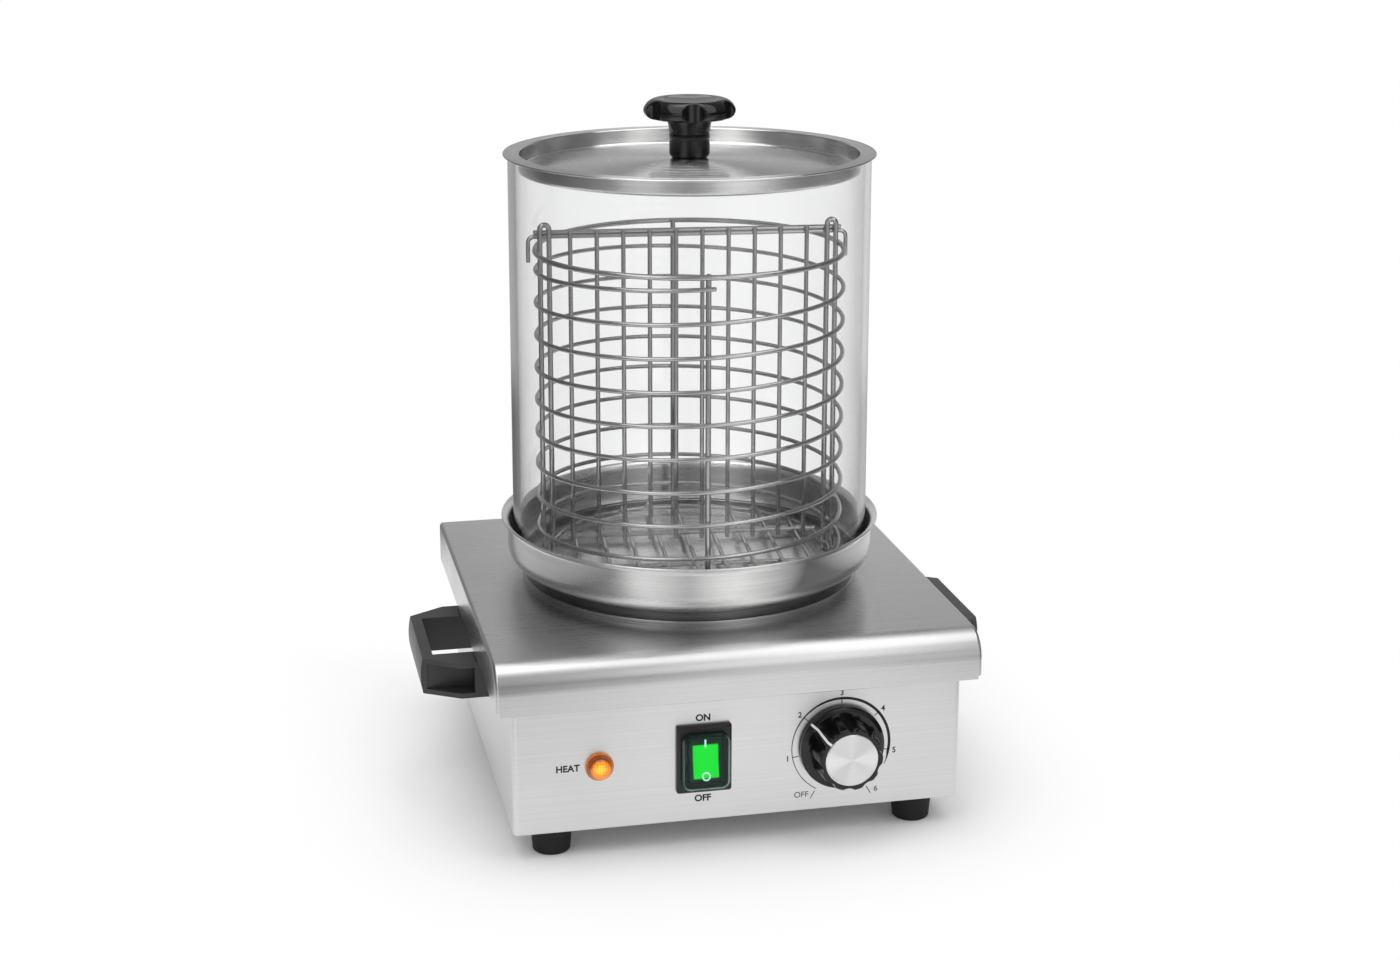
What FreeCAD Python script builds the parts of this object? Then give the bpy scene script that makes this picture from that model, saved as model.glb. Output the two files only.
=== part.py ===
import FreeCAD, Part
import math
import os
import types

import Sketcher

# Table-top sausage warmer: a folded steel housing with a hot plate, a water pan on it, a glass cylinder
# with a lid, and a wire basket. Millimetres, +Z up, the front faces -Y, and the origin lies on the table
# under the middle of the machine's outer box.

V = FreeCAD.Vector
doc = FreeCAD.newDocument("SausageWarmer")
pieces = []

# Driving dimensions: name, value, what it measures
SIZES = [
    ("sheet", 1.0, "thickness of the folded sheet"),
    ("bend", 3.0, "outer radius of a fold"),
    ("housing_width", 242.0, "housing, left to right"),
    ("housing_depth", 242.0, "housing, front panel to back panel"),
    ("body_height", 94.6, "underside of the base to the top of the cover"),
    ("panel_reach", 113.5, "front panel in front of the origin"),
    ("frame_flange", 14.0, "width of the housing's upper and rear flanges"),
    ("base_flange", 9.0, "width of the housing's lower flange"),
    ("nose_room", 4.0, "housing's front edge below the cover, under its rounded edge"),
    ("cover_side_overhang", 9.0, "cover past each side wall"),
    ("cover_front_overhang", 8.0, "cover in front of the front panel"),
    ("cover_back_overhang", 6.0, "cover behind the back panel"),
    ("side_flange", 23.4, "height of the cover's side and back flanges"),
    ("front_lip", 25.4, "height of the cover's front lip"),
    ("nose_radius", 15.0, "rounded front edge of the cover"),
    ("cover_edge", 2.0, "rounded side edges of the cover"),
    ("cover_hole", 84.0, "radius of the hole for the hot plate"),
    ("glass_back", 13.5, "axis of glass, pan and hot plate behind the origin"),
    ("seat_gap", 0.3, "gap of loosely seated pieces"),
    ("touch_gap", 0.1, "gap of closely seated pieces"),
    ("screw_gap", 0.1, "radial gap of a screw in its hole"),
    ("run_gap", 0.05, "radial gap of a turning shaft"),
    ("small_screw", 2.0, "radius of the small screws"),
    ("small_head", 3.6, "head radius of the small screws"),
    ("small_head_height", 2.2, "head height of the small screws"),
    ("small_nut", 4.0, "corner radius of the small nuts"),
    ("small_nut_height", 3.2, "height of the small nuts"),
    ("large_screw", 2.5, "radius of the handle screws"),
    ("large_head", 4.2, "head radius of the handle screws"),
    ("large_head_height", 2.8, "head height of the handle screws"),
    ("cover_stud_length", 12.0, "length of the studs under the cover"),
    ("cover_stud_inset", 45.0, "studs from the front and the back"),
    ("base_screw_length", 7.0, "length of the base screws"),
    ("base_screw_inset", 60.0, "base screws from the front and the back"),
    ("back_screw_length", 6.0, "length of the back panel's screws"),
    ("back_screw_inset", 18.0, "back panel's screws from its upper and lower edge"),
    ("vent_count", 8, "slots in the back panel and in the base"),
    ("vent_length", 46.0, "length of a slot"),
    ("vent_width", 4.0, "width of a slot"),
    ("vent_pitch", 9.0, "slot to slot"),
    ("back_vent_right", 50.0, "middle of the back panel's slots, right of the middle"),
    ("foot_height", 15.0, "height of a foot"),
    ("foot_top_radius", 11.5, "foot, at the base"),
    ("foot_base_radius", 10.0, "foot, at the table"),
    ("foot_edge", 1.2, "rounded lower edge of a foot"),
    ("foot_side_inset", 22.0, "foot from the side wall"),
    ("foot_end_inset", 14.5, "foot from the front and the back"),
    ("foot_well_radius", 5.2, "well for the screw head in a foot"),
    ("foot_well_depth", 7.0, "depth of that well"),
    ("handle_back", 3.0, "middle of the handles behind the origin"),
    ("handle_gap", 1.2, "handle below the cover's flange"),
    ("handle_height", 20.0, "handle, top to bottom"),
    ("handle_reach", 37.0, "handle out from the side wall, without its crown"),
    ("handle_crown", 1.2, "swell of the handle's outer face"),
    ("handle_half", 46.5, "half length of a handle at the wall"),
    ("handle_arm", 17.5, "straight part of a handle's arm"),
    ("grip_half", 34.3, "half length of the grip"),
    ("grip_bar", 6.0, "thickness of the grip"),
    ("finger_half", 29.0, "half length of the finger opening"),
    ("handle_pocket_depth", 12.0, "moulded recess in a handle's ends"),
    ("handle_pocket_wall", 2.8, "rim above and below the recess"),
    ("handle_pocket_start", 10.0, "recess from the side wall"),
    ("handle_pocket_end", 2.0, "recess from the outer face"),
    ("handle_screw_depth", 9.0, "screw into a handle"),
    ("inlet_left", 60.0, "power inlet, left of the middle"),
    ("inlet_height", 32.0, "power inlet above the base"),
    ("inlet_flange_width", 50.0, "flange of the inlet"),
    ("inlet_flange_height", 24.0, "flange of the inlet"),
    ("inlet_flange_depth", 2.5, "flange of the inlet"),
    ("inlet_body_width", 28.0, "body of the inlet"),
    ("inlet_body_height", 20.0, "body of the inlet"),
    ("inlet_body_depth", 22.0, "body of the inlet behind the flange"),
    ("inlet_recess_width", 24.0, "recess for the plug"),
    ("inlet_recess_height", 16.0, "recess for the plug"),
    ("inlet_recess_depth", 17.0, "recess for the plug"),
    ("inlet_pin_width", 2.0, "blade of a pin"),
    ("inlet_pin_height", 4.0, "blade of a pin"),
    ("inlet_pin_length", 13.0, "pin above the floor of the recess"),
    ("inlet_pin_spread", 7.0, "outer pins from the middle"),
    ("inlet_pin_rise", 4.0, "middle pin above the other two"),
    ("inlet_screw_spread", 20.0, "inlet screws from the middle"),
    ("inlet_screw_length", 8.0, "inlet screws"),
    ("plate_flange_radius", 88.0, "flange of the hot plate"),
    ("plate_flange", 4.0, "thickness of that flange"),
    ("plate_radius", 81.5, "face of the hot plate"),
    ("plate_edge", 1.0, "chamfer of the hot plate"),
    ("pan_lift", 9.2, "underside of the water pan above the cover"),
    ("trim_outer", 95.0, "trim ring round the hot plate"),
    ("trim_height", 3.4, "trim ring above the cover"),
    ("trim_edge", 1.0, "rounded edge of the trim ring"),
    ("element_ring", 55.0, "heating element, middle radius of the ring"),
    ("element_tube", 4.0, "heating element, radius of the tube"),
    ("element_open", 40.0, "angle between the ends of the element"),
    ("element_lead", 24.0, "leads of the element, downwards"),
    ("lead_hole", 6.0, "holes round the leads"),
    ("clamp_radius", 68.0, "plate under the element"),
    ("clamp_thickness", 2.0, "plate under the element"),
    ("clamp_bolt_radius", 3.0, "bolt that pulls the plate up"),
    ("clamp_bolt_head", 5.8, "corner radius of the bolt head"),
    ("clamp_bolt_head_height", 4.0, "height of the bolt head"),
    ("plate_tap_depth", 8.0, "tapped hole in the hot plate"),
    ("shield_radius", 90.5, "heat shield, outer wall"),
    ("shield_flange", 7.0, "heat shield, flange under the cover"),
    ("shield_depth", 28.0, "heat shield below the cover"),
    ("pad_hole", 12.0, "hole of the insulation for the bolt head"),
    ("cutout_right", 64.0, "thermal cut-out, right of the glass axis"),
    ("cutout_radius", 8.0, "thermal cut-out"),
    ("cutout_height", 9.0, "thermal cut-out"),
    ("tab_width", 6.3, "flat connector"),
    ("tab_thickness", 0.8, "flat connector"),
    ("tab_length", 9.0, "flat connector"),
    ("tab_spread", 5.0, "flat connectors from the middle of their piece"),
    ("bulb_radius", 3.0, "sensor under the hot plate"),
    ("bulb_length", 60.0, "sensor under the hot plate"),
    ("bulb_back", 22.0, "sensor behind the glass axis"),
    ("capillary_radius", 1.0, "tube from sensor to thermostat"),
    ("capillary_reach", 40.0, "downward run of that tube, right of the middle"),
    ("capillary_bend", 6.0, "bends of that tube"),
    ("capillary_drop", 45.0, "level run of that tube above the base"),
    ("control_height", 35.0, "middle of the controls above the base"),
    ("dial_right", 55.0, "thermostat, right of the middle"),
    ("thermostat_width", 34.0, "body of the thermostat"),
    ("thermostat_depth", 26.0, "body of the thermostat"),
    ("thermostat_height", 42.0, "body of the thermostat"),
    ("bush_radius", 5.0, "threaded bush of the thermostat"),
    ("bush_length", 4.0, "bush in front of the panel"),
    ("shaft_radius", 3.0, "thermostat shaft"),
    ("shaft_inside", 10.0, "shaft inside the thermostat"),
    ("shaft_outside", 14.0, "shaft in front of the panel"),
    ("thermostat_screw_spread", 14.0, "thermostat screws from the shaft"),
    ("thermostat_screw_length", 8.0, "thermostat screws"),
    ("knob_depth", 20.5, "knob in front of the panel, without its cap"),
    ("knob_gap", 1.0, "knob from the panel"),
    ("skirt_radius", 23.0, "skirt of the knob"),
    ("skirt_height", 2.4, "straight edge of the skirt"),
    ("skirt_top_radius", 21.0, "skirt, where its slope ends"),
    ("skirt_slope", 1.6, "height of the skirt's slope"),
    ("grip_foot_radius", 18.8, "grip of the knob at the skirt"),
    ("grip_radius", 17.3, "grip of the knob at the front"),
    ("grip_edge", 1.0, "rounded front edge of the grip"),
    ("flute_count", 10, "flutes round the grip"),
    ("flute_radius", 4.5, "radius of a flute"),
    ("flute_depth", 1.6, "depth of a flute at the front"),
    ("knob_hollow_radius", 19.5, "hollow under the knob"),
    ("knob_hollow_depth", 3.6, "hollow under the knob"),
    ("hub_radius", 7.0, "hub of the knob round the bush"),
    ("knob_bore_depth", 15.0, "bore of the knob"),
    ("cap_radius", 14.2, "metal cap of the knob"),
    ("cap_thickness", 1.5, "metal cap of the knob"),
    ("cap_proud", 0.5, "metal cap in front of the grip"),
    ("cap_edge", 0.4, "chamfer of the cap"),
    ("pointer_width", 1.3, "pointer line"),
    ("pointer_sink", 0.8, "pointer line, let into the grip"),
    ("pointer_proud", 0.15, "pointer line, above the grip"),
    ("pointer_turn", 50.0, "pointer, left of the top, in degrees"),
    ("switch_left", 20.0, "switch, left of the middle"),
    ("bezel_width", 29.5, "frame of the switch"),
    ("bezel_height", 37.5, "frame of the switch"),
    ("bezel_depth", 3.2, "frame of the switch"),
    ("bezel_edge", 1.4, "chamfer of the frame"),
    ("switch_body_width", 24.0, "body of the switch"),
    ("switch_body_height", 31.0, "body of the switch"),
    ("switch_body_depth", 26.0, "body of the switch behind the panel's face"),
    ("rocker_width", 17.5, "rocker"),
    ("rocker_half", 11.5, "half height of the rocker"),
    ("rocker_face", 4.0, "middle of the rocker's face in front of its pivot"),
    ("rocker_horn", 0.9, "ends of the rocker's face above its middle"),
    ("rocker_back", 4.0, "back of the rocker behind its pivot"),
    ("rocker_side_gap", 0.7, "rocker to its chamber at the sides"),
    ("rocker_end_gap", 1.4, "rocker to its chamber at the ends"),
    ("rocker_tilt", 9.0, "tilt of the rocker each way, in degrees"),
    ("chamber_depth", 8.0, "rocker chamber behind the panel's face"),
    ("pivot_out", 1.0, "pivot of the rocker in front of the panel's face"),
    ("pivot_radius", 1.5, "pivot pins of the rocker"),
    ("pivot_length", 1.8, "pivot pins beyond the rocker"),
    ("boot_width", 25.5, "clear splash cover"),
    ("boot_height", 30.7, "clear splash cover"),
    ("boot_depth", 6.8, "clear splash cover"),
    ("boot_round", 4.5, "rounding of the splash cover"),
    ("boot_wall", 0.8, "wall of the splash cover"),
    ("lamp_left", 75.5, "pilot lamp, left of the middle"),
    ("lens_flange_radius", 7.6, "flange of the lens"),
    ("lens_flange", 1.6, "flange of the lens"),
    ("lens_radius", 6.6, "dome of the lens"),
    ("lens_round", 5.0, "rounding of the dome"),
    ("lens_height", 7.0, "lens in front of the panel"),
    ("lamp_body_radius", 5.9, "body of the lamp"),
    ("lamp_body_length", 22.0, "body of the lamp"),
    ("lamp_nut_radius", 9.0, "ring nut of the lamp"),
    ("lamp_nut_height", 4.0, "ring nut of the lamp"),
    ("block_left", 60.0, "terminal block, left of the middle"),
    ("block_back", 70.0, "terminal block behind the origin"),
    ("block_width", 44.0, "terminal block"),
    ("block_depth", 18.0, "terminal block"),
    ("block_height", 15.0, "terminal block"),
    ("block_well", 2.0, "screw wells of the terminal block"),
    ("block_well_pitch", 12.0, "screw wells of the terminal block"),
    ("earth_left", 15.0, "earth stud, left of the middle"),
    ("earth_back", 95.0, "earth stud behind the origin"),
    ("earth_length", 14.0, "earth stud"),
    ("wire_radius", 1.2, "inner wires"),
    ("wire_room", 8.0, "room round the bends of the inner wires"),
    ("wire_bend", 4.8, "bends of the inner wires"),
    ("pan_sheet", 0.9, "wall of the water pan"),
    ("pan_wall", 103.1, "outer radius of the water pan's wall"),
    ("pan_height", 27.0, "water pan, underside to rim"),
    ("pan_round", 10.0, "rounded lower edge of the water pan"),
    ("pan_flare", 3.6, "flared rim of the water pan"),
    ("glass_radius", 100.0, "outer radius of the glass"),
    ("glass_wall", 4.0, "wall of the glass"),
    ("glass_edge", 1.0, "chamfered edges of the glass"),
    ("glass_height", 228.5, "length of the glass"),
    ("lid_sheet", 0.9, "sheet of the lid"),
    ("lid_rim", 102.6, "outer radius of the lid"),
    ("lid_well", 94.4, "outer radius of the lid's well"),
    ("lid_depth", 9.0, "depth of the well at its wall"),
    ("lid_dome", 5.5, "rise of the lid's floor to the middle"),
    ("lid_round", 2.5, "rounded lower edge of the well"),
    ("lid_knob_foot", 10.0, "lid knob at the lid"),
    ("lid_knob_collar", 11.2, "collar of the lid knob"),
    ("lid_knob_chamfer", 2.2, "chamfer below the collar"),
    ("lid_knob_collar_height", 13.2, "collar of the lid knob"),
    ("lid_knob_neck", 12.7, "neck of the lid knob under its head"),
    ("lid_knob_under", 21.8, "underside of the head above the lid"),
    ("lid_knob_radius", 25.4, "head of the lid knob"),
    ("lid_knob_waist", 26.6, "widest level of the head above the lid"),
    ("lid_knob_top", 32.6, "top of the head above the lid"),
    ("lid_knob_rim", 17.0, "top ring of the head"),
    ("lid_knob_lower", 21.0, "underside of the head, where its edge starts"),
    ("lid_knob_dish", 14.6, "shallow dish in the top"),
    ("lid_knob_dish_depth", 1.6, "shallow dish in the top"),
    ("lid_notch_count", 6, "finger notches round the head"),
    ("lid_notch_radius", 7.0, "finger notch"),
    ("lid_notch_depth", 4.6, "finger notch"),
    ("lid_knob_turn", -6.3, "lid knob about its axis, in degrees"),
    ("lid_screw_radius", 2.4, "screw of the lid knob"),
    ("lid_screw_head", 5.0, "head of that screw"),
    ("lid_screw_head_height", 2.8, "head of that screw"),
    ("lid_screw_length", 14.0, "that screw into the knob"),
    ("basket_turn", -5.5, "basket about the glass axis, in degrees"),
    ("coil_radius", 85.65, "spiral, middle radius"),
    ("coil_wire", 1.25, "radius of the thin wire"),
    ("coil_turns", 9, "turns of the spiral"),
    ("coil_start", 172.1, "upper end of the spiral above the pan's floor"),
    ("coil_end", 7.4, "lower end of the spiral above the pan's floor"),
    ("coil_sides", 6, "flat sides of the spiral's wire"),
    ("coil_overlap", 2.5, "free end of the spiral past the front wire, in degrees"),
    ("post_wire", 1.5, "radius of the thick wire"),
    ("ring_height", 178.3, "upper ring above the pan's floor"),
    ("weld_bite", 0.15, "depth of a weld between two wires"),
    ("ear_height", 193.9, "ears above the pan's floor"),
    ("ear_bend", 2.5, "bend of an ear, middle radius"),
    ("low_ring_height", 3.5, "lower ring above the pan's floor"),
    ("floor_wire_count", 9, "wires of the basket's floor"),
    ("floor_wire_pitch", 16.0, "wires of the basket's floor"),
    ("cross_wire_back", 30.0, "cross wires under the floor, from the middle"),
    ("divider_bar_height", 187.8, "upper bar of the divider above the pan's floor"),
    ("divider_bar_half", 86.5, "half length of the upper bar"),
    ("divider_wire_count", 10, "upright wires of the divider"),
    ("divider_wire_pitch", 14.7, "upright wires of the divider"),
    ("divider_foot", 9.0, "lower ends of the upright wires above the pan's floor"),
    ("divider_low_bar", 12.0, "lower bar of the divider above the pan's floor"),
    ("divider_low_half", 74.0, "half length of the lower bar"),
    ("hook_bend", 3.5, "bend of the divider's hooks"),
    ("hook_drop", 11.0, "straight end of a hook"),
]

sheet = doc.addObject("Spreadsheet::Sheet", "Sizes")
for row, (name, value, note) in enumerate(SIZES, start=1):
    sheet.set(f"A{row}", name)
    sheet.set(f"B{row}", str(value))
    sheet.setAlias(f"B{row}", name)
    sheet.set(f"C{row}", note)
doc.recompute()


class Size:
    """A length as a number and as the expression over the sheet that gives it."""

    def __init__(self, value, text):
        self.value = float(value)
        self.text = text

    def __add__(self, other):
        other = as_size(other)
        return Size(self.value + other.value, f"({self.text} + {other.text})")

    def __sub__(self, other):
        other = as_size(other)
        return Size(self.value - other.value, f"({self.text} - {other.text})")

    def __mul__(self, other):
        other = as_size(other)
        return Size(self.value * other.value, f"({self.text} * {other.text})")

    def __truediv__(self, other):
        other = as_size(other)
        return Size(self.value / other.value, f"({self.text} / {other.text})")

    def __neg__(self):
        return Size(-self.value, f"(-1 * {self.text})")

    __radd__ = __add__
    __rmul__ = __mul__


def as_size(number):
    return number if isinstance(number, Size) else Size(number, repr(float(number)))


def root(size):
    """Square root of a size."""
    return Size(math.sqrt(size.value), f"sqrt({size.text})")


def crown_radius(half, rise):
    """Radius of an arc over a chord of twice half, with the given rise."""
    return (half * half + rise * rise) / (2 * rise)


d = types.SimpleNamespace()
for name, value, note in SIZES:
    setattr(d, name, Size(sheet.get(name), "Sizes." + name))
ZERO = Size(0, "0.0")

# Levels and faces that several pieces share
front = -d.panel_reach
back = front + d.housing_depth
side = d.housing_width / 2
floor = d.foot_height
top = floor + d.body_height
under = top - d.sheet
flange_low = top - d.side_flange
lip_low = top - d.front_lip
cover_front = front - d.cover_front_overhang
cover_back = back + d.cover_back_overhang
cover_side = side + d.cover_side_overhang
base_top = floor + d.sheet
control_z = floor + d.control_height
flange_mid = side - d.frame_flange / 2
back_in = back - d.sheet
plate_low = under - d.plate_flange
plate_top = top + d.pan_lift
pan_floor = plate_top + d.pan_sheet

# How far a cut runs past the face that it opens
PAST = 1.0


def bind(thing, **sizes):
    """Ties properties of a document object to the sheet."""
    for prop, size in sizes.items():
        thing.setExpression(prop, as_size(size).text)


def settle(thing, x=ZERO, y=ZERO, z=ZERO, turn=None):
    """Turns a document object, then ties its place to the sheet."""
    thing.Placement = FreeCAD.Placement(V(0, 0, 0), turn or FreeCAD.Rotation())
    for axis, size in (("x", x), ("y", y), ("z", z)):
        thing.setExpression(f"Placement.Base.{axis}", as_size(size).text)
    return thing


# Directions of primitives that stand along +Z by themselves
WAYS = {
    "+z": FreeCAD.Rotation(),
    "-z": FreeCAD.Rotation(V(1, 0, 0), 180),
    "-y": FreeCAD.Rotation(V(1, 0, 0), 90),
    "+y": FreeCAD.Rotation(V(1, 0, 0), -90),
    "+x": FreeCAD.Rotation(V(0, 1, 0), 90),
    "-x": FreeCAD.Rotation(V(0, 1, 0), -90),
}


def rod(radius, length, x, y, z, way="+z"):
    thing = doc.addObject("Part::Cylinder", "Rod")
    bind(thing, Radius=radius, Height=length)
    return settle(thing, x, y, z, WAYS[way])


def hexagon(corner_radius, length, x, y, z, way="+z"):
    thing = doc.addObject("Part::Prism", "Hexagon")
    thing.Polygon = 6
    bind(thing, Circumradius=corner_radius, Height=length)
    return settle(thing, x, y, z, WAYS[way])


def block(x, y, z):
    """Box between two sizes on each axis."""
    thing = doc.addObject("Part::Box", "Block")
    bind(thing, Length=x[1] - x[0], Width=y[1] - y[0], Height=z[1] - z[0])
    return settle(thing, x[0], y[0], z[0])


def bent_ring(radius, tube, angle, x, y, z, turn):
    """Torus, or the part of one that its angle gives."""
    thing = doc.addObject("Part::Torus", "BentRing")
    bind(thing, Radius1=radius, Radius2=tube, Angle3=angle)
    return settle(thing, x, y, z, turn)


def weld(name, things):
    thing = doc.addObject("Part::MultiFuse", name)
    thing.Shapes = things
    return thing


def carve(name, base, tools):
    """A base less the tools."""
    thing = doc.addObject("Part::Cut", name)
    thing.Base = base
    thing.Tool = tools[0] if len(tools) == 1 else weld(name + "_tools", tools)
    return thing


def group(name, things):
    """Separate solids of one kind under one name."""
    thing = doc.addObject("Part::Compound", name)
    thing.Links = things
    return piece(thing, name)


def piece(thing, name):
    """Names a finished sub-part."""
    thing.Label = name
    pieces.append(thing)
    return thing


def shaped(name, shape):
    """Sub-part whose shape is worked out in code."""
    thing = doc.addObject("Part::Feature", name)
    thing.Shape = shape
    return piece(thing, name)


def screw(head, head_height, shank, length, x, y, z, way):
    """Screw whose head's lower face is at the place and whose shank goes the given way."""
    backwards = {"+z": "-z", "-z": "+z", "+y": "-y", "-y": "+y", "+x": "-x", "-x": "+x"}
    cap = rod(head, head_height, x, y, z, backwards[way])
    pin = rod(shank, length, x, y, z, way)
    return weld("Screw", [cap, pin])


def nut(corner_radius, height, bore, x, y, z, way):
    hole_length = height + 2 * PAST
    axis = {"+z": (0, 0, 1), "-z": (0, 0, -1)}[way]
    hole = rod(bore, hole_length, x, y, z - axis[2] * PAST, way)
    return carve("Nut", hexagon(corner_radius, height, x, y, z, way), [hole])


def body(name):
    thing = doc.addObject("PartDesign::Body", name)
    return piece(thing, name)


def add_circle(sketch, x, y, radius):
    index = sketch.addGeometry(Part.Circle(V(x.value, y.value, 0), V(0, 0, 1), radius.value), False)
    rules = [
        (Sketcher.Constraint("DistanceX", -1, 1, index, 3, x.value), x),
        (Sketcher.Constraint("DistanceY", -1, 1, index, 3, y.value), y),
        (Sketcher.Constraint("Radius", index, radius.value), radius),
    ]
    for rule, size in rules:
        sketch.setExpression(f"Constraints[{sketch.addConstraint(rule)}]", size.text)


def arc_between(p, q, radius, hand):
    """Arc under a half turn from p to q, with its centre on the left or right of the way."""
    middle = (p + q) / 2
    across = q - p
    normal = V(-across.y, across.x, 0) / across.Length
    height = math.sqrt(max(radius * radius - across.Length ** 2 / 4, 0))
    centre = middle + normal * (height if hand == "left" else -height)
    ends = (p, q) if hand == "left" else (q, p)
    angles = [math.atan2(e.y - centre.y, e.x - centre.x) for e in ends]
    return Part.ArcOfCircle(Part.Circle(centre, V(0, 0, 1), radius), angles[0], angles[1])


def add_loop(sketch, stops):
    """Closed outline: each stop is x, y, and for an arc that ends there also radius and hand."""
    stops = [tuple(s if isinstance(s, str) else as_size(s) for s in stop) for stop in stops]
    sides = []
    for i, start in enumerate(stops):
        end = stops[(i + 1) % len(stops)]
        p = V(start[0].value, start[1].value, 0)
        q = V(end[0].value, end[1].value, 0)
        if len(end) == 2:
            sides.append((sketch.addGeometry(Part.LineSegment(p, q), False), 1, 2))
        else:
            index = sketch.addGeometry(arc_between(p, q, end[2].value, end[3]), False)
            first = 1 if end[3] == "left" else 2
            sides.append((index, first, 3 - first))
            rule = Sketcher.Constraint("Radius", index, end[2].value)
            sketch.setExpression(f"Constraints[{sketch.addConstraint(rule)}]", end[2].text)
    for i, (index, first, last) in enumerate(sides):
        follower = sides[(i + 1) % len(sides)]
        sketch.addConstraint(Sketcher.Constraint("Coincident", index, last, follower[0], follower[1]))
        for kind, size in (("DistanceX", stops[i][0]), ("DistanceY", stops[i][1])):
            rule = Sketcher.Constraint(kind, -1, 1, index, first, size.value)
            sketch.setExpression(f"Constraints[{sketch.addConstraint(rule)}]", size.text)


def draw(owner, plane, loops=(), circles=(), lift=None):
    """Sketch on an origin plane of a body, lifted along the plane's normal."""
    sketch = owner.newObject("Sketcher::SketchObject", "Sketch")
    support = [f for f in owner.Origin.OriginFeatures if f.Role == plane]
    sketch.AttachmentSupport = [(support[0], "")]
    sketch.MapMode = "FlatFace"
    if lift is not None:
        sketch.setExpression("AttachmentOffset.Base.z", as_size(lift).text)
    for stops in loops:
        add_loop(sketch, stops)
    for x, y, radius in circles:
        add_circle(sketch, as_size(x), as_size(y), as_size(radius))
    doc.recompute()
    return sketch


def pad(owner, sketch, length):
    feature = owner.newObject("PartDesign::Pad", "Pad")
    feature.Profile = sketch
    bind(feature, Length=length)
    doc.recompute()
    return feature


def pocket(owner, sketch, depth, forward=False):
    """Cut against the sketch's normal, or along it, that has to remove material."""
    before = owner.Shape.Volume
    feature = owner.newObject("PartDesign::Pocket", "Pocket")
    feature.Profile = sketch
    feature.Reversed = forward
    bind(feature, Length=depth)
    doc.recompute()
    if owner.Shape.Volume >= before:
        raise RuntimeError(f"a cut in {owner.Label} removes nothing")
    return feature


def revolve(owner, stops):
    """Solid of revolution about the body's Z axis from an outline of radius and height."""
    sketch = draw(owner, "XZ_Plane", [stops])
    feature = owner.newObject("PartDesign::Revolution", "Revolution")
    feature.Profile = sketch
    feature.ReferenceAxis = (sketch, ["V_Axis"])
    feature.Angle = 360
    doc.recompute()
    return feature


def repeat_round(owner, feature, count):
    """The feature repeated round the body's Z axis."""
    axis = [f for f in owner.Origin.OriginFeatures if f.Role == "Z_Axis"]
    pattern = owner.newObject("PartDesign::PolarPattern", "PolarPattern")
    pattern.Originals = [feature]
    pattern.Axis = (axis[0], [""])
    pattern.Angle = 360
    bind(pattern, Occurrences=count)
    owner.Tip = pattern
    doc.recompute()
    return pattern


def rectangle(x0, x1, y0, y1):
    return [(x0, y0), (x1, y0), (x1, y1), (x0, y1)]


def rounded(x0, x1, y0, y1, r):
    """Rectangle with round corners."""
    return [
        (x0 + r, y0), (x1 - r, y0), (x1, y0 + r, r, "left"), (x1, y1 - r),
        (x1 - r, y1, r, "left"), (x0 + r, y1), (x0, y1 - r, r, "left"), (x0, y0 + r),
        (x0 + r, y0, r, "left"),
    ][1:]


def corners(x, y_front, y_back):
    """Four places, mirrored left and right."""
    return [(s * x, y) for y in (y_front, y_back) for s in (-1, 1)]


def vents(owner, plane, x_mid, y_mid, lift, forward=False):
    """Row of parallel slots about a middle."""
    run = d.vent_pitch * (d.vent_count - 1)
    y = y_mid - run / 2
    slot = rectangle(x_mid - d.vent_length / 2, x_mid + d.vent_length / 2,
                     y - d.vent_width / 2, y + d.vent_width / 2)
    sketch = draw(owner, plane, [slot], lift=lift)
    first = pocket(owner, sketch, 2 * d.sheet, forward)
    pattern = owner.newObject("PartDesign::LinearPattern", "LinearPattern")
    pattern.Originals = [first]
    pattern.Direction = (sketch, ["V_Axis"])
    bind(pattern, Length=run, Occurrences=d.vent_count)
    owner.Tip = pattern
    doc.recompute()


def facing_front(turn=0.0):
    """Rotation that points a body's Z axis at the front, after a turn about that axis."""
    return FreeCAD.Rotation(V(1, 0, 0), 90) * FreeCAD.Rotation(V(0, 0, 1), turn)


# Places of the fasteners
stud_places = corners(flange_mid, front + d.cover_stud_inset, back - d.cover_stud_inset)
base_flange_mid = side - (d.base_flange + d.sheet) / 2
base_screw_places = corners(base_flange_mid, front + d.base_screw_inset, back - d.base_screw_inset)
foot_places = corners(side - d.foot_side_inset, front + d.foot_end_inset, back - d.foot_end_inset)
back_screw_places = corners(flange_mid, floor + d.back_screw_inset, under - d.back_screw_inset)
handle_screw_y = (d.handle_half + d.finger_half) / 2
handle_high = flange_low - d.handle_gap
handle_low = handle_high - d.handle_height
handle_mid = handle_high - d.handle_height / 2
small_hole = d.small_screw + d.screw_gap
large_hole = d.large_screw + d.screw_gap


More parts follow.
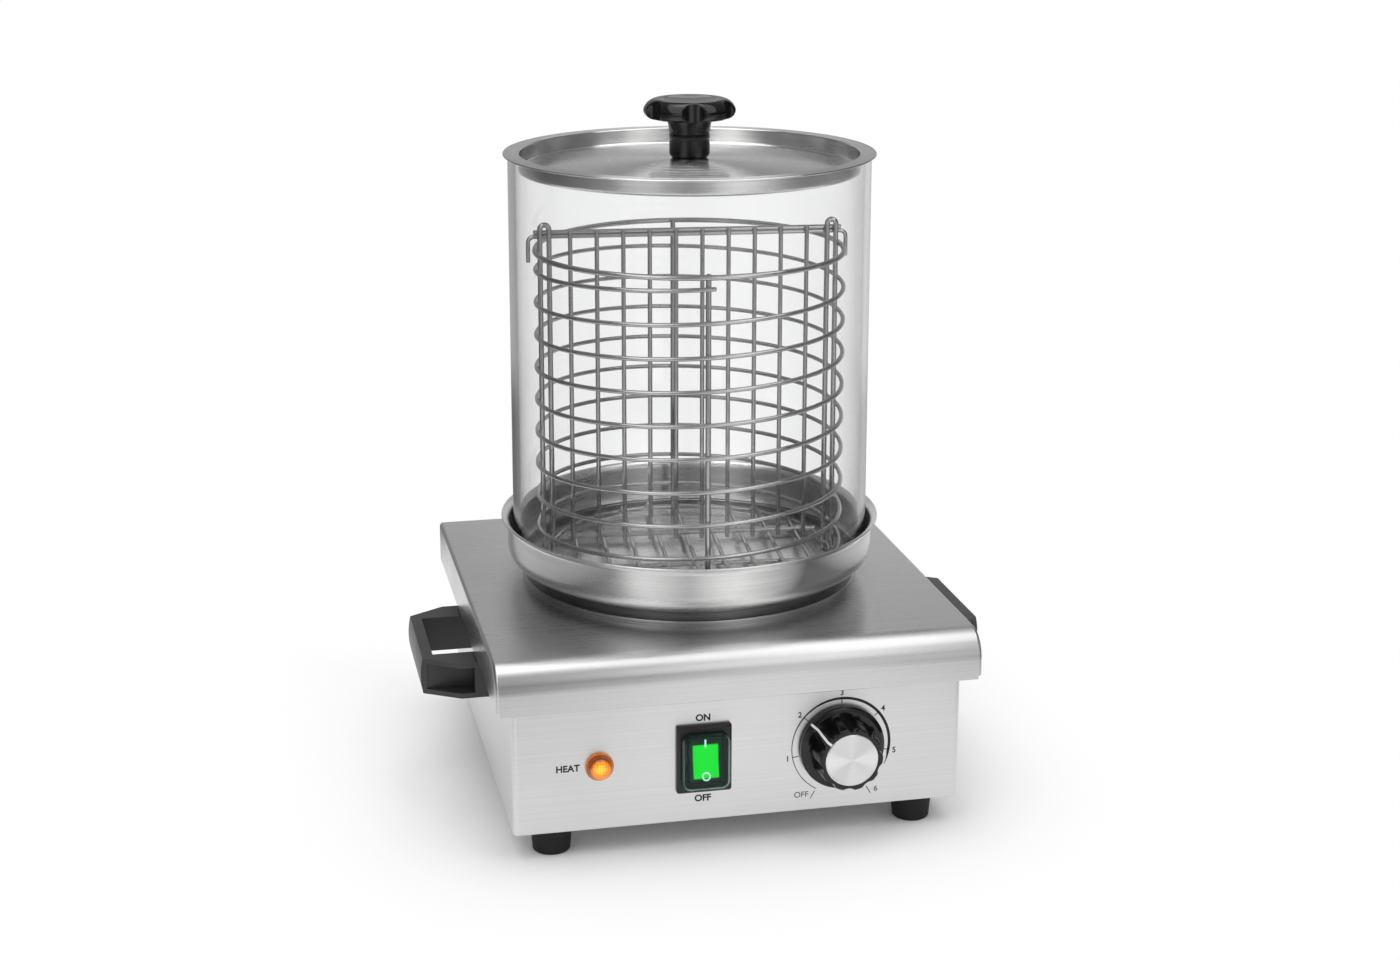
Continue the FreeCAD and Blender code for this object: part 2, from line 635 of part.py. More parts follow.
def make_housing_shell():
    """Front and side walls in one folded sheet, with flanges round the top, the bottom and the back."""
    shell = body("housing_shell")
    t = d.sheet
    rb = d.bend
    inner = rb - t
    lip = side - d.frame_flange
    wall = [
        (-lip, back_in), (-side, back_in), (-side, front + rb), (-side + rb, front, rb, "left"),
        (side - rb, front), (side, front + rb, rb, "left"), (side, back_in), (lip, back_in),
        (lip, back_in - t), (side - t, back_in - t), (side - t, front + rb),
        (side - rb, front + t, inner, "right"), (-side + rb, front + t),
        (-side + t, front + rb, inner, "right"), (-side + t, back_in - t), (-lip, back_in - t),
    ]
    pad(shell, draw(shell, "XY_Plane", [wall], lift=floor), under - floor)
    x = side - t / 2
    y = front + t / 2
    rim = [(-x, front + rb), (-side + rb, y), (side - rb, y), (x, front + rb),
           (x, back_in - t / 2), (-x, back_in - t / 2)]
    for level, flange in ((base_top, d.base_flange), (under - t, d.frame_flange)):
        opening = rectangle(-side + flange, side - flange, front + flange, back_in - flange)
        pad(shell, draw(shell, "XY_Plane", [rim, opening], lift=level), t)
    room = rectangle(-side - PAST, side + PAST, front - PAST, cover_front + d.nose_radius)
    pocket(shell, draw(shell, "XY_Plane", [room], lift=under), d.nose_room)

    controls = [rounded(-d.switch_left - d.switch_body_width / 2 - d.seat_gap,
                        -d.switch_left + d.switch_body_width / 2 + d.seat_gap,
                        control_z - d.switch_body_height / 2 - d.seat_gap,
                        control_z + d.switch_body_height / 2 + d.seat_gap, d.sheet)]
    holes = [(-d.lamp_left, control_z, d.lamp_body_radius + d.screw_gap),
             (d.dial_right, control_z, d.bush_radius + d.screw_gap)]
    for s in (-1, 1):
        holes.append((d.dial_right + s * d.thermostat_screw_spread, control_z, small_hole))
    pocket(shell, draw(shell, "XZ_Plane", controls, holes, lift=d.panel_reach), 2 * t)

    grips = [(d.handle_back + s * handle_screw_y, handle_mid, large_hole) for s in (-1, 1)]
    pocket(shell, draw(shell, "YZ_Plane", circles=grips, lift=side), 2 * t)
    pocket(shell, draw(shell, "YZ_Plane", circles=grips, lift=-side), 2 * t, forward=True)
    studs = [(x, y, small_hole) for x, y in stud_places]
    pocket(shell, draw(shell, "XY_Plane", circles=studs, lift=under), t + PAST)
    screws = [(x, y, small_hole) for x, y in base_screw_places]
    pocket(shell, draw(shell, "XY_Plane", circles=screws, lift=base_top + t), t + PAST)
    rear = [(x, z, small_hole) for x, z in back_screw_places]
    pocket(shell, draw(shell, "XZ_Plane", circles=rear, lift=-back_in), t + PAST, forward=True)


def make_base_plate():
    """Floor of the housing under its lower flange, with slots for air."""
    plate = body("base_plate")
    gap = d.sheet + d.seat_gap
    edge = rounded(-side + gap, side - gap, front + gap, back_in - gap, d.bend)
    pad(plate, draw(plate, "XY_Plane", [edge], lift=floor), d.sheet)
    holes = [(x, y, small_hole) for x, y in base_screw_places + foot_places]
    pocket(plate, draw(plate, "XY_Plane", circles=holes, lift=base_top), 2 * d.sheet)
    vents(plate, "XY_Plane", ZERO, d.glass_back, base_top)


def make_back_panel():
    """Flat rear wall with air slots and the cut-out of the power inlet."""
    panel = body("back_panel")
    edge = rectangle(-side, side, floor, under)
    pad(panel, draw(panel, "XZ_Plane", [edge], lift=-back), d.sheet)
    z = floor + d.inlet_height
    cutout = rectangle(-d.inlet_left - d.inlet_body_width / 2 - d.seat_gap,
                       -d.inlet_left + d.inlet_body_width / 2 + d.seat_gap,
                       z - d.inlet_body_height / 2 - d.seat_gap,
                       z + d.inlet_body_height / 2 + d.seat_gap)
    holes = [(x, level, small_hole) for x, level in back_screw_places]
    for s in (-1, 1):
        holes.append((-d.inlet_left + s * d.inlet_screw_spread, z, small_hole))
    pocket(panel, draw(panel, "XZ_Plane", [cutout], holes, lift=-back), 2 * d.sheet, forward=True)
    vents(panel, "XZ_Plane", d.back_vent_right, floor + d.body_height / 2, -back, forward=True)


def make_top_cover():
    """Pressed cover: a flat top, a round front edge with a lip, and flanges at the sides and the back."""
    cover = body("top_cover")
    t = d.sheet
    nose = d.nose_radius
    rb = d.bend
    outer = [
        (cover_front, flange_low), (cover_back, flange_low), (cover_back, top - rb),
        (cover_back - rb, top, rb, "left"), (cover_front + nose, top),
        (cover_front, top - nose, nose, "left"),
    ]
    blank = pad(cover, draw(cover, "YZ_Plane", [outer], lift=-cover_side), 2 * cover_side)

    edges = []
    for i, edge in enumerate(cover.Shape.Edges, start=1):
        box = edge.BoundBox
        at_side = abs(abs(edge.CenterOfMass.x) - cover_side.value) < 1e-6 and box.XLength < 1e-6
        above = box.ZMax > flange_low.value + 1e-6
        if at_side and above:
            edges.append(f"Edge{i}")
    fillet = cover.newObject("PartDesign::Fillet", "Fillet")
    fillet.Base = (blank, edges)
    bind(fillet, Radius=d.cover_edge)
    doc.recompute()

    inner = [
        (cover_front + t, flange_low - PAST), (cover_back - t, flange_low - PAST), (cover_back - t, top - rb),
        (cover_back - rb, under, rb - t, "left"), (cover_front + nose, under),
        (cover_front + t, top - nose, nose - t, "left"),
    ]
    pocket(cover, draw(cover, "YZ_Plane", [inner], lift=cover_side - t), 2 * (cover_side - t))
    hole = [(ZERO, d.glass_back, d.cover_hole)]
    pocket(cover, draw(cover, "XY_Plane", circles=hole, lift=top), 2 * t)
    lip = rectangle(-cover_side + d.cover_edge, cover_side - d.cover_edge, cover_front, cover_front + t)
    pad(cover, draw(cover, "XY_Plane", [lip], lift=lip_low), flange_low - lip_low)


def make_housing_fasteners():
    studs = [rod(d.small_screw, d.cover_stud_length, x, y, under, "-z") for x, y in stud_places]
    group("cover_studs", studs)
    nuts = [nut(d.small_nut, d.small_nut_height, small_hole, x, y, under - d.sheet, "-z")
            for x, y in stud_places]
    group("cover_nuts", nuts)
    base = [screw(d.small_head, d.small_head_height, d.small_screw, d.base_screw_length,
                  x, y, floor, "+z") for x, y in base_screw_places]
    group("base_screws", base)
    rear = [screw(d.small_head, d.small_head_height, d.small_screw, d.back_screw_length,
                  x, back, z, "-y") for x, z in back_screw_places]
    group("back_screws", rear)


def make_handle(name, s):
    """Moulded side handle: two arms, a grip with a swelling outer face, and a finger opening."""
    handle = body(name)
    y = d.handle_back
    wall = s * side
    arm = s * (side + d.handle_arm)
    outer = s * (side + d.handle_reach)
    bar = s * (side + d.handle_reach - d.grip_bar)
    plan = [
        (wall, y - d.handle_half), (arm, y - d.handle_half), (outer, y - d.grip_half),
        (outer, y + d.grip_half), (arm, y + d.handle_half), (wall, y + d.handle_half),
        (wall, y + d.finger_half), (bar, y + d.finger_half), (bar, y - d.finger_half),
        (wall, y - d.finger_half),
    ]
    pad(handle, draw(handle, "XY_Plane", [plan], lift=handle_low), d.handle_height)

    radius = crown_radius(d.handle_height / 2, d.handle_crown)
    inside = s * (side + d.handle_reach - d.handle_crown)
    crown = [(inside, handle_low), (outer, handle_low),
             (outer, handle_high, radius, "left" if s > 0 else "right"), (inside, handle_high)]
    pad(handle, draw(handle, "XZ_Plane", [crown], lift=-(y + d.grip_half)), 2 * d.grip_half)

    recess = rectangle(s * (side + d.handle_pocket_start), s * (side + d.handle_reach - d.handle_pocket_end),
                       handle_low + d.handle_pocket_wall, handle_high - d.handle_pocket_wall)
    near = draw(handle, "XZ_Plane", [recess], lift=-(y - d.handle_half))
    pocket(handle, near, d.handle_pocket_depth)
    far = draw(handle, "XZ_Plane", [recess], lift=-(y + d.handle_half))
    pocket(handle, far, d.handle_pocket_depth, forward=True)

    holes = [(y + e * handle_screw_y, handle_mid, large_hole) for e in (-1, 1)]
    taps = draw(handle, "YZ_Plane", circles=holes, lift=wall)
    pocket(handle, taps, d.handle_screw_depth, forward=s > 0)


def make_handles():
    make_handle("handle_left", -1)
    make_handle("handle_right", 1)
    length = d.handle_screw_depth + d.sheet - d.seat_gap
    screws = []
    for s, way in ((-1, "-x"), (1, "+x")):
        for e in (-1, 1):
            screws.append(screw(d.large_head, d.large_head_height, d.large_screw, length,
                                s * (side - d.sheet), d.handle_back + e * handle_screw_y, handle_mid, way))
    group("handle_screws", screws)


def make_feet():
    """Tapered rubber feet, each held by a screw in a well."""
    names = ("foot_front_left", "foot_front_right", "foot_back_left", "foot_back_right")
    well = d.foot_well_depth
    outline = [
        (small_hole, well), (d.foot_well_radius, well), (d.foot_well_radius, ZERO),
        (d.foot_base_radius - d.foot_edge, ZERO),
        (d.foot_base_radius, d.foot_edge, d.foot_edge * 1.1, "left"),
        (d.foot_top_radius, d.foot_height), (small_hole, d.foot_height),
    ]
    screws = []
    nuts = []
    for name, (x, y) in zip(names, foot_places):
        foot = body(name)
        revolve(foot, outline)
        settle(foot, x, y)
        length = d.foot_height - well + d.sheet + d.small_nut_height
        screws.append(screw(d.small_head, d.small_head_height, d.small_screw, length, x, y, well, "+z"))
        nuts.append(nut(d.small_nut, d.small_nut_height, small_hole, x, y, base_top, "+z"))
    group("foot_screws", screws)
    group("foot_nuts", nuts)


def make_power_inlet():
    """Socket for a mains lead in the back panel, with three flat pins."""
    x = -d.inlet_left
    z = floor + d.inlet_height
    rim = back + d.inlet_flange_depth

    def part(width, height, y0, y1):
        return block((x - width / 2, x + width / 2), (y0, y1), (z - height / 2, z + height / 2))

    flange = part(d.inlet_flange_width, d.inlet_flange_height, back, rim)
    box = part(d.inlet_body_width, d.inlet_body_height, back - d.inlet_body_depth, back)
    recess_floor = rim - d.inlet_recess_depth
    tools = [part(d.inlet_recess_width, d.inlet_recess_height, recess_floor, rim + PAST)]
    for s in (-1, 1):
        tools.append(rod(small_hole, d.inlet_flange_depth + 2 * PAST,
                         x + s * d.inlet_screw_spread, back - PAST, z, "+y"))
    piece(carve("power_inlet", weld("InletBody", [flange, box]), tools), "power_inlet")

    low = z - d.inlet_pin_rise / 2
    places = [(x - d.inlet_pin_spread, low), (x, low + d.inlet_pin_rise), (x + d.inlet_pin_spread, low)]
    pins = []
    for px, pz in places:
        pins.append(block((px - d.inlet_pin_width / 2, px + d.inlet_pin_width / 2),
                          (recess_floor, recess_floor + d.inlet_pin_length),
                          (pz - d.inlet_pin_height / 2, pz + d.inlet_pin_height / 2)))
    group("inlet_pins", pins)
    screws = [screw(d.small_head, d.small_head_height, d.small_screw, d.inlet_screw_length,
                    x + s * d.inlet_screw_spread, rim, z, "-y") for s in (-1, 1)]
    group("inlet_screws", screws)


# Levels of the heater, from the hot plate downwards
element_z = plate_low - d.touch_gap - d.element_tube
clamp_high = element_z - d.element_tube - d.touch_gap
clamp_low = clamp_high - d.clamp_thickness
shield_low = under - d.shield_depth
bulb_z = plate_low - d.touch_gap - d.bulb_radius
lead_angle = 90 - d.element_open.value / 2
lead_x = d.element_ring * Size(math.cos(math.radians(lead_angle)), "sin(Sizes.element_open / 2 * 1deg)")
lead_y = d.element_ring * Size(math.sin(math.radians(lead_angle)), "cos(Sizes.element_open / 2 * 1deg)")
lead_low = element_z - d.element_lead


def heater_holes():
    """Holes for both leads and the sensor's tube, about the glass axis."""
    return [(-lead_x, lead_y, d.lead_hole), (lead_x, lead_y, d.lead_hole),
            (d.capillary_reach, d.bulb_back, d.capillary_radius + 2 * d.seat_gap)]


def make_heater():
    t = d.sheet
    plate = body("hot_plate")
    tap = d.clamp_bolt_radius + d.screw_gap
    revolve(plate, [
        (tap, plate_low), (d.plate_flange_radius, plate_low), (d.plate_flange_radius, under),
        (d.plate_radius, under), (d.plate_radius, plate_top - d.plate_edge),
        (d.plate_radius - d.plate_edge, plate_top), (ZERO, plate_top),
        (ZERO, plate_low + d.plate_tap_depth), (tap, plate_low + d.plate_tap_depth),
    ])
    settle(plate, y=d.glass_back)

    trim = body("trim_ring")
    trim_top = top + d.trim_height
    trim_inner = d.plate_radius + d.seat_gap
    revolve(trim, [
        (trim_inner, top), (d.trim_outer, top), (d.trim_outer, trim_top - d.trim_edge),
        (d.trim_outer - d.trim_edge, trim_top, d.trim_edge, "left"), (trim_inner, trim_top),
    ])
    settle(trim, y=d.glass_back)

    start = FreeCAD.Rotation(V(0, 0, 1), 90 + d.element_open.value / 2)
    sweep = Size(360, "360") - d.element_open
    ring = bent_ring(d.element_ring, d.element_tube, sweep, ZERO, d.glass_back, element_z, start)
    leads = [rod(d.element_tube, d.element_lead, s * lead_x, d.glass_back + lead_y, element_z, "-z")
             for s in (-1, 1)]
    piece(weld("heating_element", [ring] + leads), "heating_element")

    clamp = body("element_clamp")
    revolve(clamp, [
        (tap, clamp_low), (d.clamp_radius, clamp_low), (d.clamp_radius, clamp_high), (tap, clamp_high),
    ])
    pocket(clamp, draw(clamp, "XY_Plane", circles=heater_holes(), lift=clamp_high), 2 * d.clamp_thickness)
    settle(clamp, y=d.glass_back)

    head = hexagon(d.clamp_bolt_head, d.clamp_bolt_head_height, ZERO, d.glass_back, clamp_low, "-z")
    shank_length = plate_low + d.plate_tap_depth - d.seat_gap - clamp_low
    shank = rod(d.clamp_bolt_radius, shank_length, ZERO, d.glass_back, clamp_low)
    piece(weld("clamp_bolt", [head, shank]), "clamp_bolt")

    shield = body("heat_shield")
    wall = d.shield_radius
    rim = wall + d.shield_flange
    revolve(shield, [
        (ZERO, shield_low), (wall, shield_low), (wall, under - t), (rim, under - t), (rim, under),
        (wall - t, under), (wall - t, shield_low + t), (ZERO, shield_low + t),
    ])
    pocket(shield, draw(shield, "XY_Plane", circles=heater_holes(), lift=shield_low + t), 2 * t)
    settle(shield, y=d.glass_back)

    pad_low = shield_low + t
    pad_high = clamp_low - d.seat_gap
    insulation = body("insulation_pad")
    pad_radius = wall - t - d.seat_gap
    revolve(insulation, [
        (d.pad_hole, pad_low), (pad_radius, pad_low), (pad_radius, pad_high), (d.pad_hole, pad_high),
    ])
    pocket(insulation, draw(insulation, "XY_Plane", circles=heater_holes(), lift=pad_high),
           pad_high - pad_low + PAST)
    settle(insulation, y=d.glass_back)


cutout_low = shield_low - d.cutout_height
thermostat_back = front + d.sheet + d.thermostat_depth


def tab(x, y, z, way):
    """Flat connector that stands out of a face, downwards or backwards."""
    across = (x - d.tab_width / 2, x + d.tab_width / 2)
    if way == "-z":
        return block(across, (y - d.tab_thickness / 2, y + d.tab_thickness / 2), (z - d.tab_length, z))
    return block(across, (y, y + d.tab_length), (z - d.tab_thickness / 2, z + d.tab_thickness / 2))


def make_sensors():
    can = rod(d.cutout_radius, d.cutout_height, d.cutout_right, d.glass_back, cutout_low)
    tabs = [tab(d.cutout_right, d.glass_back + s * d.tab_spread, cutout_low, "-z") for s in (-1, 1)]
    piece(weld("thermal_cutout", [can] + tabs), "thermal_cutout")

    bulb = rod(d.bulb_radius, d.bulb_length, -d.bulb_length / 2, d.glass_back + d.bulb_back, bulb_z, "+x")
    piece(bulb, "sensor_bulb")

    y = (d.glass_back + d.bulb_back).value
    x = d.capillary_reach.value
    level = (floor + d.capillary_drop).value
    route = [V(d.bulb_length.value / 2, y, bulb_z.value), V(x, y, bulb_z.value), V(x, y, level),
             V(x, thermostat_back.value, level)]
    shaped("capillary_tube", tube(route, d.capillary_bend.value, d.capillary_radius.value))


# Largest part of a straight run that one bend may take
RUN_SHARE = 0.45


def bent_path(points, bend):
    """Straight runs joined by tangent arcs of one radius, or of what the shorter run leaves room for."""
    edges = []
    start = points[0]
    for before, corner, after in zip(points, points[1:], points[2:]):
        into = (corner - before).normalize()
        away = (after - corner).normalize()
        half_turn = math.acos(max(-1.0, min(1.0, into.dot(away)))) / 2
        shorter = min((corner - before).Length, (after - corner).Length)
        radius = min(bend, RUN_SHARE * shorter / math.tan(half_turn))
        reach = radius * math.tan(half_turn)
        first = corner - into * reach
        last = corner + away * reach
        inward = (away - into).normalize()
        middle = corner + inward * (radius / math.cos(half_turn) - radius)
        edges.append(Part.LineSegment(start, first).toShape())
        edges.append(Part.Arc(first, middle, last).toShape())
        start = last
    edges.append(Part.LineSegment(start, points[-1]).toShape())
    return Part.Wire(edges)


def tube(points, bend, radius):
    """Round wire along straight runs and arcs."""
    path = bent_path(points, bend)
    way = points[1] - points[0]
    ring = Part.Wire(Part.makeCircle(radius, points[0], way))
    solid = path.makePipeShell([ring], True, False)
    section = math.pi * radius ** 2 * path.Length
    if abs(solid.Volume / section - 1) > 0.01:
        raise RuntimeError("a bent tube has the wrong volume")
    return solid


def make_thermostat():
    x = d.dial_right
    half = d.thermostat_width / 2
    tall = d.thermostat_height / 2
    face = front + d.sheet
    case = block((x - half, x + half), (face, thermostat_back), (control_z - tall, control_z + tall))
    bush = rod(d.bush_radius, d.bush_length + d.sheet + PAST, x, face + PAST, control_z, "-y")
    bore_start = face + d.shaft_inside + d.seat_gap
    bore_length = d.shaft_inside + d.seat_gap + d.sheet + d.bush_length + PAST
    tools = [rod(d.shaft_radius + d.run_gap, bore_length, x, bore_start, control_z, "-y")]
    depth = d.thermostat_screw_length
    for s in (-1, 1):
        tools.append(rod(small_hole, depth + PAST, x + s * d.thermostat_screw_spread, face - PAST,
                         control_z, "+y"))
    piece(carve("thermostat_body", weld("ThermostatCase", [case, bush]), tools), "thermostat_body")
    length = d.shaft_inside + d.sheet + d.shaft_outside
    piece(rod(d.shaft_radius, length, x, face + d.shaft_inside, control_z, "-y"), "thermostat_shaft")
    screws = [screw(d.small_head, d.small_head_height, d.small_screw, depth,
                    x + s * d.thermostat_screw_spread, front, control_z, "+y") for s in (-1, 1)]
    group("thermostat_screws", screws)


# Outline of the dial knob, from its rim to its front
skirt_high = d.knob_gap + d.skirt_height
slope_high = skirt_high + d.skirt_slope
cap_low = d.knob_depth + d.cap_proud - d.cap_thickness


def make_dial_knob():
    turn = facing_front(90 + d.pointer_turn.value)
    knob = body("knob_body")
    bore = d.shaft_radius + d.run_gap
    well = d.cap_radius + d.touch_gap
    hollow = d.knob_gap + d.knob_hollow_depth
    bush_room = d.bush_radius + d.seat_gap
    bush_end = d.bush_length + d.seat_gap
    revolve(knob, [
        (d.knob_hollow_radius, d.knob_gap), (d.skirt_radius, d.knob_gap), (d.skirt_radius, skirt_high),
        (d.skirt_top_radius, slope_high), (d.grip_foot_radius, slope_high),
        (d.grip_radius, d.knob_depth - d.grip_edge),
        (d.grip_radius - d.grip_edge, d.knob_depth, d.grip_edge * 1.1, "left"),
        (well, d.knob_depth), (well, cap_low), (ZERO, cap_low), (ZERO, d.knob_bore_depth),
        (bore, d.knob_bore_depth), (bore, bush_end), (bush_room, bush_end), (bush_room, d.knob_gap),
        (d.hub_radius, d.knob_gap), (d.hub_radius, hollow), (d.knob_hollow_radius, hollow),
    ])
    centre = d.grip_radius + d.flute_radius - d.flute_depth
    step = math.pi / d.flute_count.value
    flute_x = centre * Size(math.cos(step), "cos(180deg / Sizes.flute_count)")
    flute_y = centre * Size(math.sin(step), "sin(180deg / Sizes.flute_count)")
    outline = draw(knob, "XY_Plane", circles=[(flute_x, flute_y, d.flute_radius)], lift=d.knob_depth)
    repeat_round(knob, pocket(knob, outline, d.knob_depth - slope_high), d.flute_count)

    lean = (d.grip_foot_radius - d.grip_radius) / (d.knob_depth - d.grip_edge - slope_high)
    end_radius = d.grip_radius - lean * d.grip_edge

    def pointer_outline(grow):
        out = d.pointer_proud + grow
        sink = d.pointer_sink + grow
        return [
            (d.grip_foot_radius - sink, slope_high), (d.grip_foot_radius + out, slope_high),
            (end_radius + out, d.knob_depth + out), (well + d.touch_gap, d.knob_depth + out),
            (well + d.touch_gap, d.knob_depth - sink), (end_radius - sink, d.knob_depth - sink),
        ]

    half = d.pointer_width / 2
    slot = draw(knob, "XZ_Plane", [pointer_outline(d.run_gap)], lift=half + d.run_gap)
    pocket(knob, slot, d.pointer_width + 2 * d.run_gap)
    settle(knob, d.dial_right, front, control_z, turn)

    pointer = body("knob_pointer")
    pad(pointer, draw(pointer, "XZ_Plane", [pointer_outline(ZERO)], lift=-half), d.pointer_width)
    settle(pointer, d.dial_right, front, control_z, turn)

    cap = body("knob_cap")
    face = d.knob_depth + d.cap_proud
    revolve(cap, [
        (ZERO, cap_low), (d.cap_radius, cap_low), (d.cap_radius, face - d.cap_edge),
        (d.cap_radius - d.cap_edge, face), (ZERO, face),
    ])
    settle(cap, d.dial_right, front, control_z, turn)


def make_switch():
    x = -d.switch_left
    bezel_face = front - d.bezel_depth
    half_wide = d.rocker_width / 2 + d.rocker_side_gap
    half_tall = d.rocker_half + d.rocker_end_gap
    pivot_y = front - d.pivot_out

    frame = body("switch_frame")
    bezel = rounded(x - d.bezel_width / 2, x + d.bezel_width / 2,
                    control_z - d.bezel_height / 2, control_z + d.bezel_height / 2, d.bezel_edge)
    blank = pad(frame, draw(frame, "XZ_Plane", [bezel], lift=-front), d.bezel_depth)
    rim = []
    for i, edge in enumerate(frame.Shape.Edges, start=1):
        if edge.BoundBox.YMax < bezel_face.value + 1e-6:
            rim.append(f"Edge{i}")
    chamfer = frame.newObject("PartDesign::Chamfer", "Chamfer")
    chamfer.Base = (blank, rim)
    bind(chamfer, Size=d.bezel_edge)
    doc.recompute()
    case = rectangle(x - d.switch_body_width / 2, x + d.switch_body_width / 2,
                     control_z - d.switch_body_height / 2, control_z + d.switch_body_height / 2)
    pad(frame, draw(frame, "XZ_Plane", [case], lift=-(front + d.switch_body_depth)), d.switch_body_depth)
    chamber = rectangle(x - half_wide, x + half_wide, control_z - half_tall, control_z + half_tall)
    opening = draw(frame, "XZ_Plane", [chamber], lift=-bezel_face)
    pocket(frame, opening, d.bezel_depth + d.chamber_depth)
    reach = d.rocker_width / 2 + d.pivot_length + d.seat_gap
    bearing = [(pivot_y, control_z, d.pivot_radius + d.run_gap)]
    pocket(frame, draw(frame, "YZ_Plane", circles=bearing, lift=x + reach), 2 * reach)

    tabs = [tab(x + s * d.tab_spread, front + d.switch_body_depth, control_z + e * d.tab_spread, "+y")
            for s in (-1, 1) for e in (-1, 1)]
    group("switch_terminals", tabs)

    rocker = body("switch_rocker")
    horn = d.rocker_face + d.rocker_horn
    profile = [
        (d.rocker_back, -d.rocker_half * 0.6), (d.rocker_back, d.rocker_half * 0.6),
        (-d.rocker_face * 0.2, d.rocker_half), (-horn, d.rocker_half), (-d.rocker_face, ZERO),
        (-horn, -d.rocker_half), (-d.rocker_face * 0.2, -d.rocker_half),
    ]
    pad(rocker, draw(rocker, "YZ_Plane", [profile], lift=-d.rocker_width / 2), d.rocker_width)
    reach = d.rocker_width / 2 + d.pivot_length
    pad(rocker, draw(rocker, "YZ_Plane", circles=[(ZERO, ZERO, d.pivot_radius)], lift=-reach), 2 * reach)
    settle(rocker, x, pivot_y, control_z, FreeCAD.Rotation(V(1, 0, 0), -d.rocker_tilt.value))

    boot = body("switch_boot")
    half = d.boot_width / 2
    tall = d.boot_height / 2
    dome = rounded(x - half, x + half, control_z - tall, control_z + tall, d.boot_round)
    blank = pad(boot, draw(boot, "XZ_Plane", [dome], lift=-bezel_face), d.boot_depth)
    crest = bezel_face - d.boot_depth
    rim = [f"Edge{i}" for i, edge in enumerate(boot.Shape.Edges, start=1)
           if edge.BoundBox.YMax < crest.value + 1e-6]
    fillet = boot.newObject("PartDesign::Fillet", "Fillet")
    fillet.Base = (blank, rim)
    bind(fillet, Radius=d.boot_round * 0.6)
    doc.recompute()
    w = d.boot_wall
    hollow = rounded(x - half + w, x + half - w, control_z - tall + w, control_z + tall - w, d.boot_round - w)
    pocket(boot, draw(boot, "XZ_Plane", [hollow], lift=-bezel_face), d.boot_depth - w, forward=True)


def make_lamp():
    x = -d.lamp_left
    lens = body("lamp_lens")
    r = d.lens_round
    revolve(lens, [
        (ZERO, ZERO), (d.lens_flange_radius, ZERO), (d.lens_flange_radius, d.lens_flange),
        (d.lens_radius, d.lens_flange), (d.lens_radius, d.lens_height - r),
        (d.lens_radius - r, d.lens_height, r, "left"), (ZERO, d.lens_height),
    ])
    settle(lens, x, front, control_z, facing_front())
    lamp = rod(d.lamp_body_radius, d.lamp_body_length, x, front, control_z, "+y")
    piece(lamp, "lamp_body")
    ring = rod(d.lamp_nut_radius, d.lamp_nut_height, x, front + d.sheet, control_z, "+y")
    hole = rod(d.lamp_body_radius + d.screw_gap, d.lamp_nut_height + 2 * PAST, x, front, control_z, "+y")
    piece(carve("lamp_nut", ring, [hole]), "lamp_nut")


def make_wiring():
    x = -d.block_left
    y = d.block_back
    block_top = base_top + d.block_height
    case = block((x - d.block_width / 2, x + d.block_width / 2),
                 (y - d.block_depth / 2, y + d.block_depth / 2), (base_top, block_top))
    wells = [rod(d.block_well, d.block_height / 2 + PAST, x + i * d.block_well_pitch, y,
                 block_top - d.block_height / 2) for i in (-1, 0, 1)]
    piece(carve("terminal_block", case, wells), "terminal_block")

    stud = rod(d.small_screw, d.earth_length, -d.earth_left, d.earth_back, base_top)
    collar = hexagon(d.small_nut, d.small_nut_height, -d.earth_left, d.earth_back, base_top)
    piece(weld("earth_stud", [stud, collar]), "earth_stud")

    def at(px, py, pz):
        return V(as_size(px).value, as_size(py).value, as_size(pz).value)

    half = d.block_well_pitch / 2
    inlet_in = back - d.inlet_body_depth
    inlet_z = floor + d.inlet_height
    block_front = y - d.block_depth / 2
    low = base_top + d.block_height / 2
    rear = y + d.block_depth / 4
    lead_back = d.glass_back + lead_y
    mid = low + d.wire_room * 3
    switch_back = front + d.switch_body_depth + d.tab_length
    turn_y = switch_back + 4 * d.wire_room
    switch_z = control_z + d.tab_spread
    tab_low = cutout_low - d.tab_length
    lamp_back = front + d.lamp_body_length
    cut_x = d.cutout_right
    routes = []
    for s in (-1, 1):
        px = x + s * half
        routes.append([at(px, inlet_in, inlet_z), at(px, rear, inlet_z), at(px, rear, block_top)])
    first_tab = -d.switch_left - d.tab_spread
    second_tab = -d.switch_left + d.tab_spread
    routes.append([at(x, block_front, low), at(x, turn_y, low), at(first_tab, turn_y, low),
                   at(first_tab, turn_y, switch_z), at(first_tab, switch_back, switch_z)])
    into = d.dial_right - d.thermostat_width / 4
    routes.append([at(second_tab, switch_back, switch_z), at(second_tab, turn_y, switch_z),
                   at(into, turn_y, switch_z), at(into, thermostat_back, switch_z)])
    near = d.glass_back - d.tab_spread
    far = d.glass_back + d.tab_spread
    feed = low + d.wire_room
    routes.append([at(cut_x, thermostat_back, feed), at(cut_x, near, feed), at(cut_x, near, tab_low)])
    routes.append([at(cut_x, far, tab_low), at(cut_x, far, mid), at(cut_x, lead_back, mid),
                   at(lead_x, lead_back, mid), at(lead_x, lead_back, lead_low)])
    neutral = x + d.block_well_pitch
    routes.append([at(-lead_x, lead_back, lead_low), at(-lead_x, lead_back, mid), at(neutral, lead_back, mid),
                   at(neutral, lead_back, block_top)])
    routes.append([at(-d.lamp_left, lamp_back, control_z), at(-d.lamp_left, turn_y, control_z),
                   at(-d.lamp_left, turn_y, low), at(-d.lamp_left, block_front, low)])
    wires = [tube(route, d.wire_bend.value, d.wire_radius.value) for route in routes]
    shaped("wire_loom", Part.makeCompound(wires))


